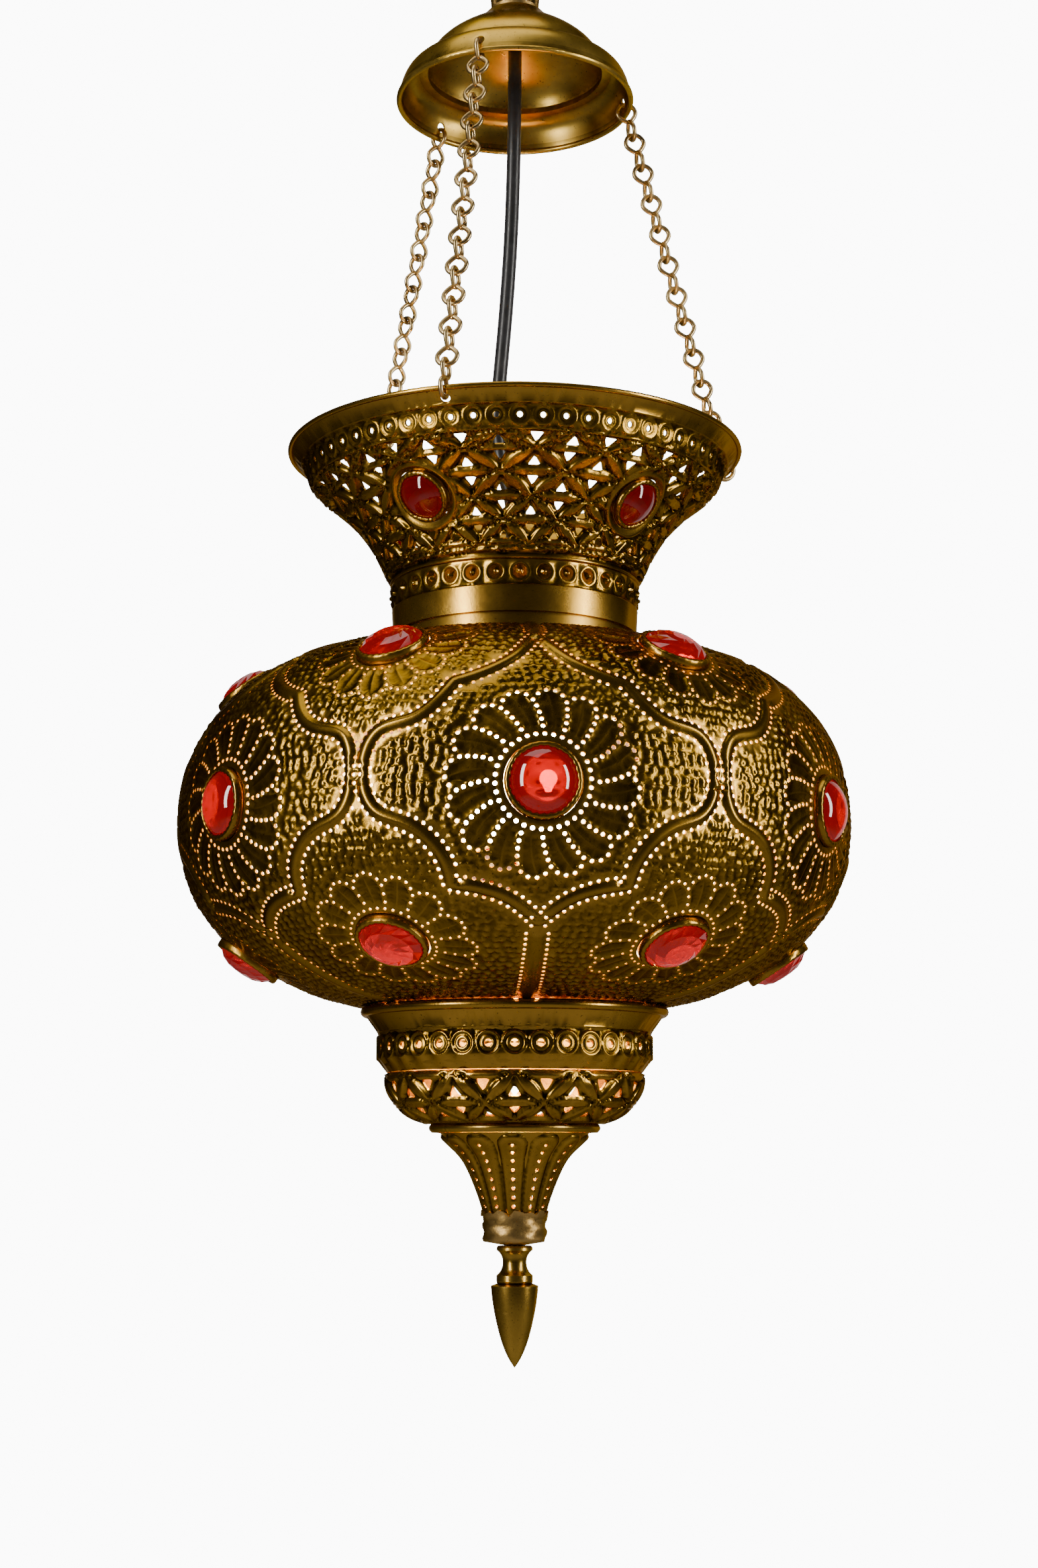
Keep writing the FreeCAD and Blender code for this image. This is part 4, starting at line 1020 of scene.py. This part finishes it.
CRIMPS = 30                     # dents round a cup's lip
STONE_SINK, GIRDLE = 2.0, 0.4   # how deep the glass sits in its cup, and a cut stone's straight edge
FACETS = ((0.92, 0.36), (0.72, 0.72), (0.46, 0.94), (0.2, 1.0))     # shares of the radius and the dome
DOME_SHARES = (1.0, 0.96, 0.88, 0.78, 0.66, 0.52, 0.36, 0.2, 0.06)
CUT_SIDES, SMOOTH_SIDES, CUP_SIDES = 14, 44, 96
CUP_WALL, CUP_SHELF, CUP_DEPTH = 1.2, 1.4, 2.6


def set_rings(seats, rings, count, closed=True, turn=0.0):
    """Rings of points about each seat's outward axis, joined into faces. A ring is (radius, lift, crimp)."""
    points, faces = [], []
    turns = full_turn(count)
    for origin, right, up, outward in seats:
        start = len(points)
        for index, (radius, lift, crimp) in enumerate(rings):
            at = turns + turn * index
            r = radius + crimp * np.cos(CRIMPS * at) + crimp * 0.6 * np.cos(7 * at + radius)
            z = lift + crimp * 0.8 * np.sin(CRIMPS * at)
            across = np.outer(r * np.cos(at), right) + np.outer(r * np.sin(at), up)
            points += (origin + MM * (across + np.outer(z, outward))).tolist()
        faces += (start + ring_faces(len(rings), count, closed)).tolist()
        if not closed:
            faces.append([start + (len(rings) - 1) * count + k for k in range(count)])
            faces.append([start + count - 1 - k for k in range(count)])
    return points, faces


def smooth_outline(radius, dome):
    sphere = (radius ** 2 + dome ** 2) / (2 * dome)
    return [(radius * k, math.sqrt(sphere ** 2 - (radius * k) ** 2) + dome - sphere) for k in DOME_SHARES]


def cut_outline(radius, dome):
    return [(radius, GIRDLE)] + [(radius * r, dome * z) for r, z in FACETS]


def add_stone_row(name, profile, centres, radius, dome, cut, glass_paint, cup_paint, rise=2.6):
    """The row's glass and its crimped cups. Cut stones have flat facets, the others are smooth domes."""
    seats = [seat_frame(profile, c) for c in centres]
    outline = cut_outline(radius, dome) if cut else smooth_outline(radius, dome)
    rings = [(r, z, 0) for r, z in [(radius, -STONE_SINK)] + outline]
    count, turn = (CUT_SIDES, math.pi / CUT_SIDES) if cut else (SMOOTH_SIDES, 0.0)
    glass = mesh_object(f"{name}_glass", *set_rings(seats, rings, count, False, turn), glass_paint, not cut)
    finish_piece(glass, "lamp", "red_glass", f"{name}_stones")
    wall, shelf = radius + CUP_WALL, radius - CUP_SHELF
    lip = [
        (wall, -CUP_DEPTH, 0), (wall, 0.6, 0), (wall - 0.15, rise - 0.9, 0.08),
        (wall - 0.5, rise - 0.2, 0.12), (radius - 0.3, rise, 0.16), (radius - 1.1, rise - 0.35, 0.3),
        (radius - 1.0, rise - 1.0, 0.2), (radius - 0.1, 0.5, 0), (radius, -STONE_SINK, 0),
        (shelf, -2.1, 0), (shelf, -CUP_DEPTH, 0),
    ]
    cups = mesh_object(f"{name}_cups", *set_rings(seats, lip, CUP_SIDES), cup_paint)
    finish_piece(cups, "lamp", "bright_brass", f"{name}_bezels")


def tube_along(path, radius, sides):
    """Points and faces of a round wire along a path, each ring turned as little as possible from the last."""
    path = np.array(path, float)
    along = np.gradient(path, axis=0)
    along /= np.linalg.norm(along, axis=1)[:, None]
    side = np.cross(along[0], [0.3, 0.5, 0.8])
    points = []
    turns = full_turn(sides)
    for place, direction in zip(path, along):
        side = side - direction * side.dot(direction)
        side /= np.linalg.norm(side)
        other = np.cross(direction, side)
        points += (place + radius * (np.outer(np.cos(turns), side) + np.outer(np.sin(turns), other))).tolist()
    faces = ring_faces(len(path), sides, False).tolist()
    faces.append(list(range(sides))[::-1])
    faces.append([len(points) - sides + k for k in range(sides)])
    return points, faces


CHAIN_LINKS, CHAIN_WIRE_R, CHAIN_GAP, CHAIN_WAIST = 12, 1.12, 0.01, 0.3
CHAIN_TOP, CHAIN_FOOT = (55.9, 612.1), (106.7, 422.2)
EYE_OPENING = 10                # degrees short of closed on either side of an eye
EYE_START = 4                   # degrees more where an eye leaves the waist


def pear(turn):
    """How far an eye's wire is from the link's line, drawn in towards the waist."""
    return np.sin(turn) * (1 - 0.45 * np.clip(np.cos(turn), 0, 1) ** 1.5)


def chain_piece(name, angle, material):
    """Jack-chain links bent from one wire each: two open eyes a quarter turn apart, in line on the last."""
    angle = math.radians(angle)
    radial = np.array([math.sin(angle), -math.cos(angle), 0.0])
    tangent = np.array([math.cos(angle), math.sin(angle), 0.0])
    top, foot = (radial * r + np.array([0, 0, h - DROP]) for r, h in (CHAIN_TOP, CHAIN_FOOT))
    span = np.linalg.norm(foot - top)
    down = (foot - top) / span
    hooked = 2 * CHAIN_WIRE_R + CHAIN_GAP
    length = (span + (CHAIN_LINKS - 1) * hooked) / CHAIN_LINKS
    eye = (length + CHAIN_WAIST) / 4
    in_line = np.cross(tangent, down)
    points, faces = [], []
    for index in range(CHAIN_LINKS):
        start = top + down * index * (length - hooked)
        upper, lower = start + down * eye, start + down * (length - eye)
        facing = in_line if index == CHAIN_LINKS - 1 else tangent
        first = np.radians(np.linspace(EYE_OPENING + EYE_START, 360 - EYE_OPENING, 34))
        second = np.radians(np.linspace(EYE_OPENING, 360 - EYE_OPENING - EYE_START, 34))
        path = np.concatenate([
            upper + eye * (np.outer(np.cos(first), down) + np.outer(pear(first), in_line)),
            lower + eye * (np.outer(-np.cos(second), down) + np.outer(pear(second), facing)),
        ])
        link_points, link_faces = tube_along(path * MM, CHAIN_WIRE_R * MM, 9)
        offset = len(points)
        points += link_points
        faces += [[v + offset for v in face] for face in link_faces]
    return mesh_object(name, points, faces, material)


# ------ cords
CORD_R = 3.4
CORD_UPPER = [(0.0, 27.0, 754.0), (0.0, 27.0, 741.0), (0.0, 25.8, 724.0), (0.0, 21.2, 704.0),
              (0.0, 13.2, 685.0), (0.0, 4.9, 670.0), (0.0, 0.7, 659.0), (0.0, 0.0, 647.0)]
CORD_LOWER = [(0.0, 0.0, 646.7), (0.0, 0.0, 625.0), (-0.3, 0.3, 588.0), (-1.6, 0.5, 541.0),
              (-4.2, 0.2, 500.0), (-7.2, -0.2, 466.0), (-9.2, -0.2, 444.0), (-6.4, 0.0, 421.0),
              (0.0, 0.0, 400.0), (0.0, 0.0, 379.5)]


def cord_piece(name, route, material):
    """A flex along its route, between the two parts that hold its ends."""
    curve = bpy.data.curves.new(name + "_route", "CURVE")
    curve.dimensions = "3D"
    curve.resolution_u = 16
    spline = curve.splines.new("NURBS")
    spline.points.add(len(route) - 1)
    for point, (x, y, h) in zip(spline.points, route):
        point.co = (x * MM, y * MM, (h - DROP) * MM, 1.0)
    spline.order_u = 3
    spline.use_endpoint_u = True
    guide = bpy.data.objects.new(name + "_guide", curve)
    line = bpy.data.meshes.new_from_object(guide)
    path = [tuple(v.co) for v in line.vertices]
    bpy.data.objects.remove(guide)
    points, faces = tube_along(path, CORD_R * MM, 20)
    cord = mesh_object(name + "_flex", points, faces, material)
    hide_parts(name)
    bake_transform(cord)


# ------ the lamp
def add_shell(shell, node, work, paint):
    finish_piece(shell.piece(f"{node}_{work}", paint), "lamp", "aged_brass", node)


def add_body(paints):
    sheet, seats = body_sheet()
    shell = sheet.build()
    split = (SOLDER_LINE - DROP) * MM
    for half, above in (("body_upper", True), ("body_lower", False)):
        piece = shell.piece(f"{half}_chased", paints["aged"], paints["lit_lining"], (split, above))
        finish_piece(piece, "lamp", "aged_brass", half)
    for name, dome, cut in (("equator", 7.5, False), ("upper", 7.0, True), ("lower", 7.0, True)):
        add_stone_row(name, BODY, seats[name], STONE_R, dome, cut, paints["red"], paints["aged"])


def add_lamp(paints):
    flex = paints["black_flex"]
    cord_piece("cord_lower", CORD_LOWER, flex)
    cord_piece("cord_upper", CORD_UPPER, flex)
    add_body(paints)
    sheet, seats = gallery_sheet()
    add_shell(sheet.build().add_bead(*GALLERY_BEAD), "gallery", "chased", paints["stamped"])
    add_shell(ferrule_shell(), "ferrule", "hammered", paints["cast"])
    add_shell(collar_sheet().build().add_bead(*COLLAR_BEAD), "collar", "chased", paints["stamped"])
    add_stone_row("gallery", GALLERY, seats, GALLERY_STONE_R, 5.5, False,
                  paints["red_dark"], paints["aged"], 2.2)
    plain = {"neck_band": neck_band_sheet, "pierced_bowl": bowl_sheet, "tail_cone": tail_sheet}
    for node, make_sheet in plain.items():
        add_shell(make_sheet().build(), node, "chased", paints["stamped"])
    for side, angle in CHAIN_ANGLES.items():
        piece = chain_piece(f"chain_{side}_links", angle, paints["wire"])
        finish_piece(piece, f"{side}_chain", "bright_brass", f"chain_{side}")


def paint_nodes(paints):
    """Materials for the pieces that are shown as they were designed."""
    by_paint = {
        "steel": ("ceiling_bracket", "hook_nut", "canopy_washer", "canopy_nut", "strap_screws", "strap_nuts",
                  "finial_nut", "holder_contact", "bulb_contact", "bulb_cap"),
        "bright": ("ceiling_rose", "ceiling_hook", "hanger_tube", "holder_strap", "holder_shell", "finial",
                   "bowl_ring"),
        "black_plastic": ("rose_bush", "terminal_block", "cord_grip", "holder_body", "shade_ring",
                          "holder_cap"),
        "porcelain": ("holder_insert",),
        "golden": ("canopy",),
        "cast": ("hanger_loop",),
        "aged": ("neck_ring",),
        "hot_wire": ("bulb_filament",),
        "lit_glass": ("bulb_glass",),
    }
    for paint, names in by_paint.items():
        for name in names:
            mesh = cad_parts[name].data
            mesh.materials.clear()
            mesh.materials.append(paints[paint])


add_camera()
paints = make_materials()
add_lamp(paints)
paint_nodes(paints)
add_studio()
